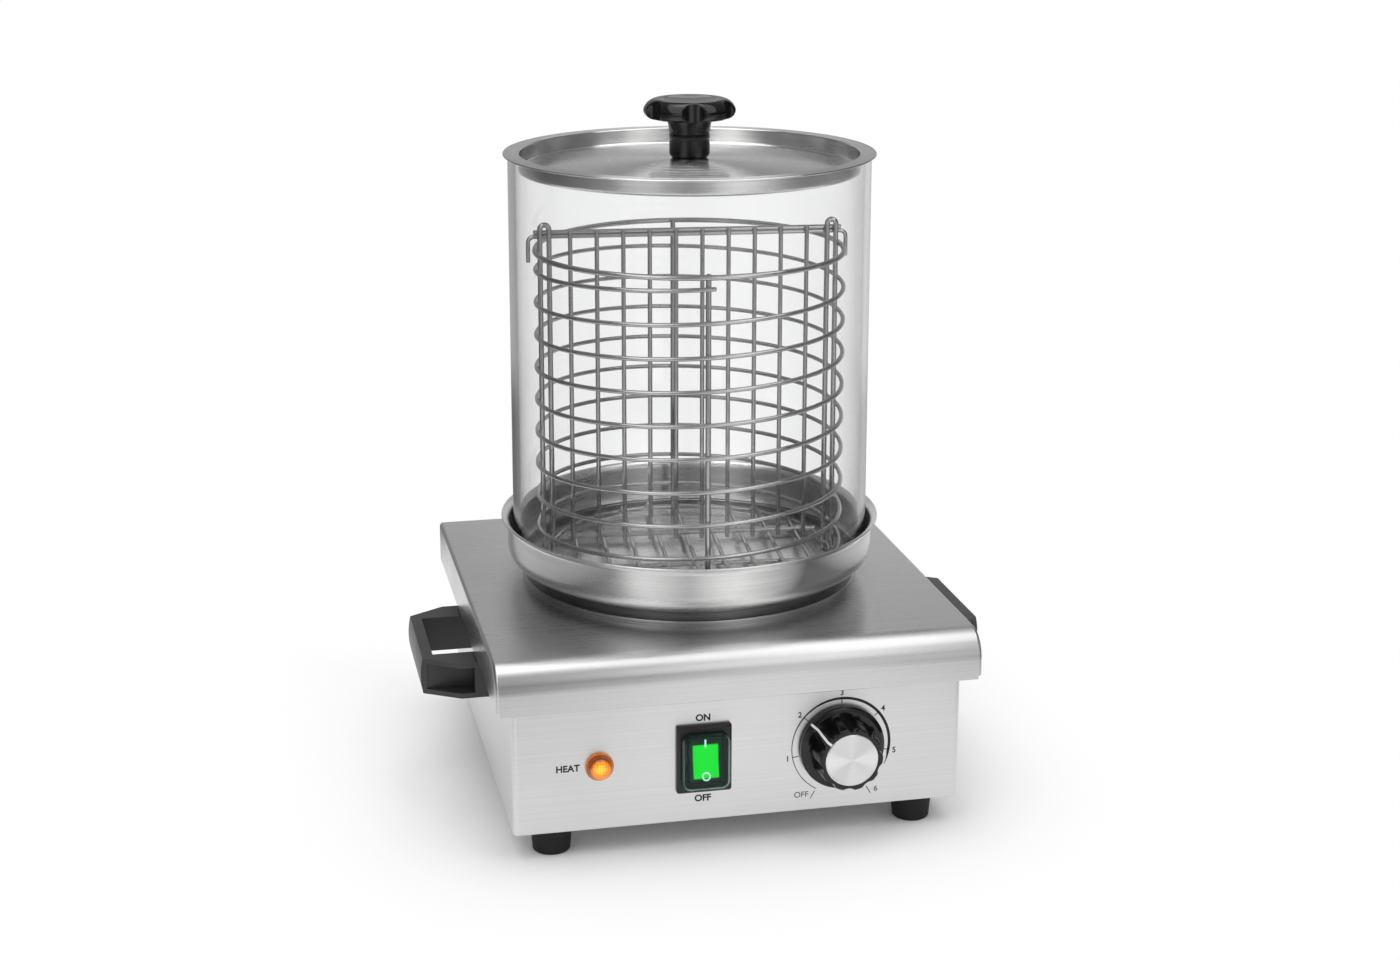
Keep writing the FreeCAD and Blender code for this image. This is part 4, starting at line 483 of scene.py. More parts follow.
def brushed_grain():
    """Streaks along U: noise on (U along, V across), a broad one and a fine one added together."""
    def fill(group, source):
        inputs = {0: source["Along"], 1: source["Across"], 2: 1.0}
        stretch = add(group, "ShaderNodeCombineXYZ", inputs).outputs[0]
        inputs = {0: source["Vector"], 1: stretch}
        place = add(group, "ShaderNodeVectorMath", inputs, operation="MULTIPLY").outputs[0]
        broad = noise(group, place, 0.22, 2.0, 0.5, "2D")
        fine = noise(group, place, 1.0, 3.0, 0.65, "2D")
        halves = [math_node(group, "MULTIPLY", part, 0.5) for part in (broad, fine)]
        return math_node(group, "ADD", *halves), fine

    return shared_group("BrushedGrain", ["Vector", "Along", "Across"], ["Streak", "Height"], fill)


def moulded_skin():
    """Fine even noise of a moulded skin, and a slow change of tone."""
    def fill(group, source):
        fine = noise(group, source["Vector"], source["Scale"], 2.0, 0.5)
        slow = noise(group, source["Vector"], math_node(group, "MULTIPLY", source["Scale"], 0.03), 2.0, 0.5)
        return slow, fine

    return shared_group("MouldedSkin", ["Vector", "Scale"], ["Tone", "Height"], fill)


def handling():
    """Mask of faint wipe and finger marks: slow noise with its middle part spread."""
    def fill(group, source):
        slow = noise(group, source["Vector"], source["Scale"], 4.0, 0.6)
        return [eased(group, slow, 0.42, 0.68)]

    return shared_group("Handling", ["Vector", "Scale"], ["Mark"], fill)


def use(tree, group, **inputs):
    return add(tree, "ShaderNodeGroup", inputs, node_tree=group).outputs


def blank(name):
    """New node material with its tree, its shader and its Object coordinates."""
    material = bpy.data.materials.new(f"finish_{name}")
    material.use_nodes = True
    tree = material.node_tree
    shader = tree.nodes["Principled BSDF"]
    place = add(tree, "ShaderNodeTexCoord").outputs["Object"]
    return material, tree, shader, place


def finish(fill):
    """Turns a function that fills a material into one that makes each named finish once."""
    def maker(name, *settings):
        found = bpy.data.materials.get(f"finish_{name}")
        if found:
            return found
        material, tree, shader, place = blank(name)
        fill(tree, shader, place, *settings)
        return material

    return maker


@finish
def brushed(tree, shader, place, colour, roughness, along, across, contrast=0.10, lines=0.05, stretch=0.6,
            depth=0.10):
    """Steel with grooves along U: streaked colour and roughness, stretched gloss and wipe marks."""
    quarter_turn, groove, wiped = 0.25, 0.02, 0.035
    uv = add(tree, "ShaderNodeUVMap", uv_map=GRAIN).outputs[0]
    grain = use(tree, brushed_grain(), Vector=uv, Along=along, Across=across)
    mark = use(tree, handling(), Vector=place, Scale=14.0)["Mark"]
    streak = ranged(tree, grain["Streak"], 0.0, 1.0, 0.3, 0.7)
    feed(tree, shader, {
        "Base Color": mixed(tree, streak, rgba(colour, 1 - contrast), rgba(colour, 1 + contrast)),
        "Metallic": 1.0,
        "Roughness": math_node(tree, "ADD", ranged(tree, streak, roughness - lines, roughness + lines),
                               math_node(tree, "MULTIPLY", mark, wiped)),
        "Anisotropic": stretch,
        "Anisotropic Rotation": quarter_turn,
        "Tangent": add(tree, "ShaderNodeTangent", direction_type="UV_MAP", uv_map=GRAIN).outputs[0],
        "Normal": relief(tree, depth, groove, grain["Height"]),
    })


@finish
def plain_metal(tree, shader, place, colour, roughness):
    """Bare metal: a fine mottle of colour and roughness on Object coordinates."""
    skin = use(tree, moulded_skin(), Vector=place, Scale=900.0)
    feed(tree, shader, {
        "Base Color": mixed(tree, skin["Tone"], rgba(colour, 0.82), rgba(colour, 1.12)),
        "Metallic": 1.0,
        "Roughness": ranged(tree, skin["Height"], roughness - 0.06, roughness + 0.08),
        "Normal": relief(tree, 0.08, 0.02, skin["Height"]),
    })


@finish
def moulded(tree, shader, place, colour, roughness, scale=2600.0, depth=0.12, gloss=0.5, light=1.35):
    """Moulded plastic, rubber or felt: fine skin, slow change of tone, and handling marks in its gloss."""
    skin = use(tree, moulded_skin(), Vector=place, Scale=scale)
    mark = use(tree, handling(), Vector=place, Scale=22.0)["Mark"]
    feed(tree, shader, {
        "Base Color": mixed(tree, skin["Tone"], rgba(colour, 0.8), rgba(colour, light)),
        "Roughness": math_node(tree, "ADD", ranged(tree, skin["Height"], roughness - 0.04, roughness + 0.04),
                               math_node(tree, "MULTIPLY", mark, 0.06)),
        "Specular IOR Level": gloss,
        "Normal": relief(tree, depth, 0.05, skin["Height"]),
    })


@finish
def clear_glass(tree, shader, place):
    """Clear glass with a faint green body, which lets light through to what stands inside."""
    mark = use(tree, handling(), Vector=place, Scale=16.0)["Mark"]
    feed(tree, shader, {
        "Base Color": mixed(tree, mark, (0.988, 0.990, 0.990, 1), (0.980, 0.983, 0.983, 1)),
        "Roughness": 0.0,
        "IOR": 1.47,
        "Transmission Weight": 1.0,
    })
    path = add(tree, "ShaderNodeLightPath").outputs
    passing = math_node(tree, "MAXIMUM", path["Is Shadow Ray"], path["Is Diffuse Ray"])
    air = add(tree, "ShaderNodeBsdfTransparent", {"Color": (0.93, 0.94, 0.94, 1)}).outputs[0]
    surface(tree, passing, shader.outputs[0], air)


@finish
def clear_boot(tree, shader, place):
    """Clear soft cover with a smoky green body."""
    skin = use(tree, moulded_skin(), Vector=place, Scale=1500.0)
    feed(tree, shader, {
        "Base Color": mixed(tree, skin["Tone"], (0.40, 0.62, 0.54, 1), (0.5, 0.70, 0.62, 1)),
        "Roughness": 0.06,
        "IOR": 1.25,
        "Transmission Weight": 1.0,
    })
    shadow = add(tree, "ShaderNodeLightPath").outputs["Is Shadow Ray"]
    air = add(tree, "ShaderNodeBsdfTransparent", {"Color": (0.6, 0.75, 0.68, 1)}).outputs[0]
    surface(tree, shadow, shader.outputs[0], air)


def centred(tree, place, centre):
    """Offsets from a point on the front panel, to the side and up, in millimetres."""
    inputs = {0: place, 1: tuple(c * MM for c in centre)}
    away = add(tree, "ShaderNodeVectorMath", inputs, operation="SUBTRACT").outputs[0]
    split = add(tree, "ShaderNodeSeparateXYZ", {0: away}).outputs
    return [math_node(tree, "MULTIPLY", split[axis], 1 / MM) for axis in (0, 2)]


@finish
def lit_rocker(tree, shader, place, colour):
    """Rocker with a lit window: |x| and |z| each fall from 1 to 0 at its edge, and their product glows."""
    x, z = (math_node(tree, "ABSOLUTE", offset) for offset in centred(tree, place, SWITCH))
    wide = eased(tree, x, 6.3, 7.2, 1.0, 0.0)
    tall = eased(tree, z, 8.3, 9.2, 1.0, 0.0)
    window = math_node(tree, "MULTIPLY", wide, tall)
    slow = noise(tree, place, 160.0, 1.0)
    glow = mixed(tree, slow, rgba(colour, 0.82), rgba(colour, 1.1))
    feed(tree, shader, {
        "Base Color": mixed(tree, window, (0.001, 0.010, 0.008, 1), (0.0, 0.12, 0.01, 1)),
        "Roughness": ranged(tree, slow, 0.25, 0.4),
        "Emission Color": mixed(tree, window, (0.0, 0.006, 0.004, 1), glow),
        "Emission Strength": 1.25,
    })


@finish
def lit_mark(tree, shader, place):
    """White mark that the light behind it reaches, with a slow change of brightness."""
    slow = noise(tree, place, 300.0, 1.0)
    feed(tree, shader, {
        "Base Color": mixed(tree, slow, (0.8, 0.86, 0.82, 1), (0.9, 0.92, 0.9, 1)),
        "Emission Color": mixed(tree, slow, (0.8, 0.95, 0.85, 1), (0.95, 1, 0.96, 1)),
        "Emission Strength": 0.9,
    })


@finish
def lit_lens(tree, shader, place, colour):
    """Amber lens: bright round its filament, dark inside its rim, with a field of small prisms."""
    x, z = centred(tree, place, LAMP)
    offset = add(tree, "ShaderNodeCombineXYZ", {0: x, 1: z}).outputs[0]
    filament = {0: offset, 1: (-0.5, 1.0, 0)}
    away = add(tree, "ShaderNodeVectorMath", {0: offset}, operation="LENGTH").outputs["Value"]
    near = add(tree, "ShaderNodeVectorMath", filament, operation="DISTANCE").outputs["Value"]
    prisms = {"Vector": offset, "Scale": 0.72, "Randomness": 0.25}
    cells = add(tree, "ShaderNodeTexVoronoi", prisms, voronoi_dimensions="2D").outputs["Distance"]
    seam = eased(tree, cells, 0.25, 0.55, 0.0, 0.32)
    dark = (0.16, 0.03, 0.002, 1)
    glow = mixed(tree, eased(tree, near, 1.0, 4.4), (1.0, 0.70, 0.03, 1), rgba(colour))
    glow = mixed(tree, eased(tree, away, 4.5, 6.0), glow, dark)
    glow = mixed(tree, eased(tree, away, 6.6, 7.2), glow, rgba(colour, 0.5))
    feed(tree, shader, {
        "Base Color": mixed(tree, seam, (0.06, 0.015, 0.001, 1), (0.02, 0.004, 0.001, 1)),
        "Emission Color": mixed(tree, seam, glow, dark),
        "Emission Strength": 1.1,
        "Roughness": ranged(tree, seam, 0.1, 0.22, 0.0, 0.4),
        "Coat Weight": 0.6,
        "Coat Roughness": 0.05,
    })


def steels(context):
    """Finishes of sheet, spun pieces and wire.

    The numbers after a brushed colour are roughness, grain along and across, contrast, spread of the
    roughness, stretch of the gloss and depth of the grooves; after a plain colour, roughness.
    """
    colours = context.scene.warmer_colours
    panel = [1.1 * shade for shade in colours.steel]
    return {
        "housing": brushed("housing_steel", panel, 0.34, 5.0, 2600.0, 0.05, 0.03, 0.6, 0.10),
        "cover": brushed("cover_steel", colours.steel, 0.28, 4.0, 2600.0, 0.05, 0.025, 0.7, 0.10),
        "spun": brushed("spun_steel", colours.bright, 0.23, 4.0, 1200.0, 0.08, 0.03, 0.95, 0.04),
        # Trim ring: steel darkened as painted shade, standing in for the shadow of the pan's overhanging rim
        "ring": brushed("ring_steel", (0.42, 0.42, 0.415), 0.26, 5.0, 700.0, 0.12, 0.05, 0.6, 0.05),
        "wire": brushed("basket_wire", colours.wire, 0.15, 30.0, 900.0, 0.06, 0.03, 0.3),
        "plate": brushed("plate_aluminium", (0.66, 0.66, 0.66), 0.38, 6.0, 500.0),
        "cap": brushed("cap_aluminium", (0.86, 0.86, 0.87), 0.36, 4.0, 2400.0, 0.05, 0.03, 0.97, 0.05),
        "fastener": plain_metal("fastener_steel", (0.60, 0.60, 0.60), 0.32),
        "inner": plain_metal("inner_steel", (0.54, 0.54, 0.53), 0.42),
        "brass": plain_metal("contact_brass", (0.72, 0.54, 0.25), 0.30),
    }


def plastics(context):
    """Finishes of knobs, handles, feet and ink.

    The numbers after a colour are roughness, fineness and depth of the skin, gloss and lightest tone.
    """
    colours = context.scene.warmer_colours
    return {
        "handle": moulded("handle_plastic", colours.handle, 0.40, 2200.0, 0.2, 0.5),
        "knob": moulded("knob_plastic", colours.knob, 0.10, 900.0, 0.02, 0.45),
        "bezel": moulded("switch_plastic", colours.bezel, 0.34, 2400.0, 0.12, 0.4),
        "rubber": moulded("foot_rubber", colours.rubber, 0.62, 1800.0, 0.25, 0.35),
        "ink": moulded("panel_ink", colours.ink, 0.5, 3000.0, 0.05, 0.3),
        "white": moulded("pointer_white", (0.86, 0.86, 0.86), 0.4, 2400.0, 0.05, 0.5, 1.1),
        "wire_cover": moulded("wire_cover", (0.5, 0.09, 0.08), 0.45),
        "wool": moulded("pad_wool", (0.74, 0.72, 0.66), 0.9, 700.0, 0.6, 0.1, 1.1),
    }


# Operators, one for each piece or group of like pieces

class WARMER_OT_housing(bpy.types.Operator):
    """Brushed walls, back panel and base plate of the housing"""

    bl_idname = "warmer.housing"
    bl_label = "Housing"

    def execute(self, context):
        edge = context.scene.warmer_sizes.sheet_edge
        steel = steels(context)["housing"]
        dressed("housing_shell", "housing_walls", steel, edge)
        dressed("back_panel", "housing_back", steel, 0)
        dressed("base_plate", "housing_base", steel, 0)
        return {"FINISHED"}


class WARMER_OT_cover(bpy.types.Operator):
    """Pressed cover with its round front edge"""

    bl_idname = "warmer.cover"
    bl_label = "Cover"

    def execute(self, context):
        edge = context.scene.warmer_sizes.sheet_edge
        dressed("top_cover", "cover_pressing", steels(context)["cover"], edge)
        return {"FINISHED"}


class WARMER_OT_handles(bpy.types.Operator):
    """Moulded side handles"""

    bl_idname = "warmer.handles"
    bl_label = "Handles"

    def execute(self, context):
        edge = context.scene.warmer_sizes.mould_edge
        plastic = plastics(context)["handle"]
        for side in ("left", "right"):
            dressed(f"handle_{side}", f"grip_{side}", plastic, edge, steps=3, flat=False)
        return {"FINISHED"}


class WARMER_OT_feet(bpy.types.Operator):
    """Tapered rubber feet with a well for the screw"""

    bl_idname = "warmer.feet"
    bl_label = "Feet"

    def execute(self, context):
        height, top, base, edge = 15.0, 11.5, 10.0, 1.2
        well, depth, hole, soft, lip = 5.2, 7.0, 2.1, 0.4, 0.5
        profile = outline(
            (hole, depth), (well - soft, depth), (well, depth - soft), (well, lip), (well + lip, 0),
            arc((base - edge, edge), edge, -90, 0), (top - 0.6, height - 4.0), (top, height - 3.2),
            arc((top - lip, height - lip), lip, 0, 90, 4), (hole, height))
        rubber = plastics(context)["rubber"]
        for name in ("front_left", "front_right", "back_left", "back_right"):
            low, high = reach(f"foot_{name}")
            shape = upright(turned(profile, steps=64), (low + high)[:2] / 2)
            spun(f"rubber_foot_{name}", shape, rubber, "base", f"foot_{name}", True)
        return {"FINISHED"}


class WARMER_OT_inlet(bpy.types.Operator):
    """Mains inlet and its pins"""

    bl_idname = "warmer.inlet"
    bl_label = "Mains inlet"

    def execute(self, context):
        plastic = plastics(context)["bezel"]
        dressed("power_inlet", "inlet_socket", plastic, 0.5 * MM, steps=3)
        dressed("inlet_pins", "inlet_blades", steels(context)["brass"], 0.25 * MM)
        return {"FINISHED"}


def screw_head(centre, way):
    """Domed head with a crossed recess: the level is a dome, less a depth where |u| or |v| is small.

    way is the direction that the head looks along.
    """
    height, fullness, recess, arm_half, arm_share, wall, tip = 2.2, 0.94, 1.1, 0.62, 0.62, 0.2, 0.4
    ring = SCREW_HEAD * np.sin(np.linspace(0, np.pi / 2, 15))
    angle = full_turn(64)
    u = ring[:, None] * np.cos(angle)
    v = ring[:, None] * np.sin(angle)
    away = np.hypot(u, v)
    dome = height * np.sqrt(np.maximum(1 - (fullness * away / SCREW_HEAD) ** 2, 0))
    arm = np.minimum(np.abs(u), np.abs(v))
    slot = np.clip((arm_half - arm) / wall, 0, 1) * np.clip((arm_share * SCREW_HEAD - away) / tip, 0, 1)
    top = np.stack([u, v, dome - recess * slot], 2)[::-1]
    foot = np.stack([u[-1], v[-1], 0 * angle], 1)[None]
    local = np.concatenate([foot, top])
    normal = np.asarray(way, float)
    side = np.array([1.0, 0, 0])
    other = np.cross(normal, side)
    place = local[..., :1] * side + local[..., 1:2] * other + local[..., 2:] * normal + np.asarray(centre)
    return patch(place, wrap=True)


def head_places(node):
    """Middles of a group's outermost screw heads, low and high, along each axis."""
    low, high = reach(node)
    return zip(low + SCREW_HEAD, high - SCREW_HEAD)


class WARMER_OT_fasteners(bpy.types.Operator):
    """Screw heads with crossed recesses, and the fasteners that stay plain"""

    bl_idname = "warmer.fasteners"
    bl_label = "Fasteners"

    def execute(self, context):
        metal = steels(context)["fastener"]
        back = reach("back_panel")[1][1]
        floor = reach("base_plate")[0][2]
        rim = reach("power_inlet")[1][1]
        xs, _, zs = head_places("back_screws")
        groups = [("back", [(x, back, z) for x in xs for z in zs], (0, 1, 0))]
        xs, ys, _ = head_places("base_screws")
        groups.append(("base", [(x, y, floor) for x in xs for y in ys], (0, 0, -1)))
        xs, _, zs = head_places("inlet_screws")
        groups.append(("inlet", [(x, rim, sum(zs) / 2) for x in xs], (0, 1, 0)))
        for name, places, way in groups:
            heads = [screw_head(place, way) for place in places]
            piece(f"{name}_screw_heads", heads, metal, "base", (f"{name}_screws",))
        coat_nodes(metal, "cover_studs", "cover_nuts", "handle_screws", "foot_screws", "foot_nuts",
                   "clamp_bolt", "thermostat_screws", "thermostat_shaft", "lid_screw", "earth_stud",
                   "lamp_nut")
        return {"FINISHED"}


class WARMER_OT_inside(bpy.types.Operator):
    """Heater, sensors and wiring inside the housing"""

    bl_idname = "warmer.inside"
    bl_label = "Inside"

    def execute(self, context):
        steel = steels(context)
        plastic = plastics(context)
        coat_nodes(steel["inner"], "element_clamp", "heat_shield", "heating_element")
        coat_nodes(steel["brass"], "switch_terminals", "sensor_bulb", "capillary_tube")
        coat_nodes(plastic["bezel"], "thermostat_body", "lamp_body", "terminal_block", "thermal_cutout")
        coat_nodes(plastic["wire_cover"], "wire_loom")
        coat_nodes(plastic["wool"], "insulation_pad")
        dressed("hot_plate", "hot_plate_turned", steel["plate"], 0.3 * MM)
        return {"FINISHED"}


class WARMER_OT_pan(bpy.types.Operator):
    """Spun water pan with a flared rim, and the trim ring under it"""

    bl_idname = "warmer.pan"
    bl_label = "Water pan"

    def execute(self, context):
        steps = context.scene.warmer_sizes.round_steps
        sheet, corner, flare = SHEET, 10.0, 3.6
        rim = (PAN_HIGH - PAN_LOW)[0] / 2
        wall = rim - flare
        height = (PAN_HIGH - PAN_LOW)[2]
        neck = height - sheet - flare
        half_up = (neck + corner) / 2
        foot = wall - corner
        lip = sheet / 2
        profile = outline(
            (0, 0), (2, 0), (foot / 2, 0), arc((foot, corner), corner, -90, 0, 12), (wall, half_up),
            arc((rim, neck), flare, 180, 98, 8), arc((rim - lip, height - lip), lip, -90, 90, 7),
            arc((rim, neck), flare + sheet, 98, 180, 8), (wall - sheet, half_up),
            arc((foot, corner), corner - sheet, 0, -90, 12), (foot * 0.66, sheet), (foot * 0.33, sheet),
            (2, sheet), (0, sheet))
        shape = upright(turned(profile, steps), AXIS, PAN_LOW[2])
        spun("pan_spinning", shape, steels(context)["spun"], "pan", "water_pan")

        outer = (TRIM_HIGH - TRIM_LOW)[0] / 2
        inner, edge, soft = 81.8, 1.0, 0.4
        top = (TRIM_HIGH - TRIM_LOW)[2]
        profile = outline((outer, 0), arc((outer - edge, top - edge), edge, 0, 90), (inner + soft, top),
                          (inner, top - soft), (inner, 0))
        shape = upright(turned(profile, steps), AXIS, TRIM_LOW[2])
        # The trim ring's darker steel is painted shade from the pan's overhanging rim
        spun("trim_ring_turned", shape, steels(context)["ring"], "base", "trim_ring", True)
        return {"FINISHED"}


class WARMER_OT_glass(bpy.types.Operator):
    """Glass cylinder with ground edges"""

    bl_idname = "warmer.glass"
    bl_label = "Glass"

    def execute(self, context):
        steps = context.scene.warmer_sizes.round_steps
        radius = (GLASS_HIGH - GLASS_LOW)[0] / 2
        height = (GLASS_HIGH - GLASS_LOW)[2]
        wall, edge = 4.0, 1.0
        inner = radius - wall
        profile = outline(
            arc((radius - edge, edge), edge, -90, 0, 5), (radius, height / 2),
            arc((radius - edge, height - edge), edge, 0, 90, 5),
            arc((inner + edge, height - edge), edge, 90, 180, 5), (inner, height / 2),
            arc((inner + edge, edge), edge, 180, 270, 5))
        shape = upright(turned(profile, steps), AXIS, GLASS_LOW[2])
        glass = clear_glass("clear_glass")
        spun("glass_tube", shape, glass, "glass", "glass_cylinder", True)
        return {"FINISHED"}


class WARMER_OT_lid(bpy.types.Operator):
    """Pressed lid and its glossy knob"""

    bl_idname = "warmer.lid"
    bl_label = "Lid"

    def execute(self, context):
        steps = context.scene.warmer_sizes.round_steps
        sheet, well, depth, rise, corner, draft = SHEET, 94.4, 9.0, 5.5, 2.5, 0.4
        rim = (LID_HIGH - LID_LOW)[0] / 2
        top = LID_HIGH[2]
        floor = top - depth
        edge = well - draft - corner
        crown = (edge ** 2 + rise ** 2) / (2 * rise)
        radii = np.array([0, 2, 12, 30, 50, 70, 84, edge])
        dome = floor + rise - crown + np.sqrt(crown ** 2 - radii ** 2)
        lip, bend = sheet / 2, 0.5
        under = np.stack([radii, dome - sheet], 1)
        upper = np.stack([radii, dome], 1)[::-1]
        profile = outline(
            under, arc((edge, floor - sheet + corner), corner, -90, 0, 8)[1:],
            arc((well + bend, top - sheet - bend), bend, 180, 90, 4),
            arc((rim - lip, top - lip), lip, -90, 90, 7), arc((well, top - sheet), sheet, 90, 180, 6),
            arc((edge, floor - sheet + corner), corner - sheet, 0, -90, 8)[:-1], upper)
        shape = upright(turned(profile, steps), AXIS)
        spun("lid_pressing", shape, steels(context)["spun"], "lid", "lid_pan")

        foot, collar, chamfer, collar_top, neck = 10.0, 11.2, 2.2, 13.2, 12.7
        head_low, lower, head, waist = 21.8, 21.0, 25.4, 26.6
        crest, ring, dish, dish_depth = 32.6, 17.0, 14.6, 1.6
        hem = math.hypot(head - lower, waist - head_low)
        shoulder = math.hypot(head - ring, crest - waist)
        profile = outline(
            (0, 0), (foot - 0.5, 0), (foot, 0.4), (collar - 0.2, chamfer - 0.4), (collar, chamfer),
            (collar, collar_top - 0.3), (collar - 0.3, collar_top), (collar - 0.3, collar_top + 0.4),
            (collar, collar_top + 0.7),
            bow((collar + 0.1, collar_top + 1.0), (neck, head_low - 0.6), 22.0, -1, 8),
            arc((neck + 0.6, head_low - 0.6), 0.6, 180, 90, 4), (lower - 1.5, head_low),
            bow((lower, head_low), (head, waist), hem * 0.72, 1, 9),
            bow((head, waist), (ring, crest), shoulder * 0.78, 1, 14)[1:], (ring - 1.0, crest + 0.09),
            (dish + 0.6, crest - 0.05), (dish - 0.4, crest - 0.35), (dish * 0.8, crest - 0.8),
            (dish * 0.45, crest - dish_depth + 0.2), (2.0, crest - dish_depth), (0, crest - dish_depth))
        profile[:, 1] = np.minimum(profile[:, 1], crest)
        notch, cut, first = 7.0, 4.6, -96.3
        notches = scallops(6, head + notch - cut, notch, first)
        limited = profile[:, 1] > head_low - 0.1
        shape = upright(turned(profile, 288, notches, limited), AXIS, reach("lid_knob")[0][2])
        spun("lid_knob_moulding", shape, plastics(context)["knob"], "lid", "lid_knob")
        return {"FINISHED"}


def into_basket(points):
    """Turns a shape of the basket by a few degrees and puts it on the pan's floor."""
    cos, sin = math.cos(BASKET_TURN), math.sin(BASKET_TURN)
    x = points[..., 0] * cos - points[..., 1] * sin
    y = points[..., 0] * sin + points[..., 1] * cos
    return np.stack([AXIS[0] + x, AXIS[1] + y, PAN_LOW[2] + SHEET + points[..., 2]], -1)


def wire(path, radius, across, closed=False):
    """Round wire along a path of the basket's own frame."""
    points, quads, uv = swept(path, across, ring_section(radius), closed, tip=0.35 * radius)
    return into_basket(points), quads, uv[:, ::-1]


def rod(start, end, radius, across):
    """Straight wire between two points of the basket's own frame."""
    return wire(line(start, end, steps=3), radius, across)


def circle(radius, level, steps=120):
    """Level ring of points."""
    angle = full_turn(steps)
    return np.stack([radius * np.cos(angle), radius * np.sin(angle), level + 0 * angle], 1)


class WARMER_OT_basket(bpy.types.Operator):
    """Wire basket: frame with ears, spiral wall, floor grid and divider"""

    bl_idname = "warmer.basket"
    bl_label = "Basket"

    def execute(self, context):
        thin = context.scene.warmer_sizes.spiral_wire / MM
        thick = context.scene.warmer_sizes.post_wire / MM
        steel = steels(context)["wire"]
        side, front, up = np.eye(3)
        bite, play = 0.15, 0.05
        coil, ring_level, low_level = 85.65, 178.3, 3.5
        post = coil - thin - thick - 2 * play
        ear, ear_top = 2.5, 193.9
        low_ring = post - 2 * thick + bite
        leg = ear_top - ear - thick
        parts = [wire(circle(radius, level), thick, up, True)
                 for radius, level in ((coil, ring_level), (low_ring, low_level))]
        bend = arc((0, leg), ear, 0, 180, 11)
        hairpin = outline((ear, 0), (ear, leg / 2), bend, (-ear, leg / 2), (-ear, 0))
        for s in (-1, 1):
            path = np.stack([s * (post - ear) + hairpin[:, 0], 0 * hairpin[:, 0], hairpin[:, 1]], 1)
            parts.append(wire(path, thick, front))
            parts.append(rod((0, s * post, 0), (0, s * post, ring_level + thick), thick, side))
        piece("basket_frame_wires", parts, steel, "basket", ("basket_frame",))

        turns, start, end, overlap = 9, 172.1, 7.4, math.radians(-2.5)
        angle = np.linspace(overlap, 2 * np.pi * turns, turns * 72)
        fall = (start - end) / (2 * np.pi * turns)
        path = np.stack([-coil * np.sin(angle), -coil * np.cos(angle), start - fall * angle], 1)
        piece("basket_spiral_wire", [wire(path, thin, up)], steel, "basket", ("basket_coil",))

        pitch, cross, gap = 16.0, 30.0, 0.3
        level = low_level + thick + thin + play
        parts = []
        for x in pitch * (np.arange(9) - 4):
            half = math.sqrt(low_ring ** 2 - x ** 2)
            parts.append(rod((x, -half, level), (x, half, level), thin, up))
        half = math.sqrt((low_ring - thick - gap) ** 2 - cross ** 2) - thin
        level = level - 2 * thin + bite
        for y in (-cross, cross):
            parts.append(rod((-half, y, level), (half, y, level), thin, up))
        piece("basket_floor_wires", parts, steel, "basket", ("basket_floor",))

        upper, half, back = 187.8, 86.5, thick + thin + play
        lower = upper - 2 * thin + bite
        straight = coil + thick - thin
        bend, drop = 3.5, 11.0
        foot, foot_half, row_low, row_pitch = 12.0, 74.0, 9.0, 14.7
        corner = arc((straight, lower - bend), bend, 90, 0, 8)
        tail = outline(corner, (straight + bend, lower - bend - drop))
        bar = np.concatenate([(tail * (-1, 1))[::-1], tail])
        parts = [
            rod((-half, back, upper), (half, back, upper), thin, up),
            wire(np.stack([bar[:, 0], back + 0 * bar[:, 0], bar[:, 1]], 1), thin, front),
            rod((-foot_half, back, foot), (foot_half, back, foot), thin, up),
        ]
        row = back - 2 * thin + bite
        for x in row_pitch * (np.arange(10) - 4.5):
            parts.append(rod((x, row, row_low), (x, row, upper + thin), thin, side))
        piece("basket_divider_wires", parts, steel, "basket", ("basket_divider",))
        return {"FINISHED"}


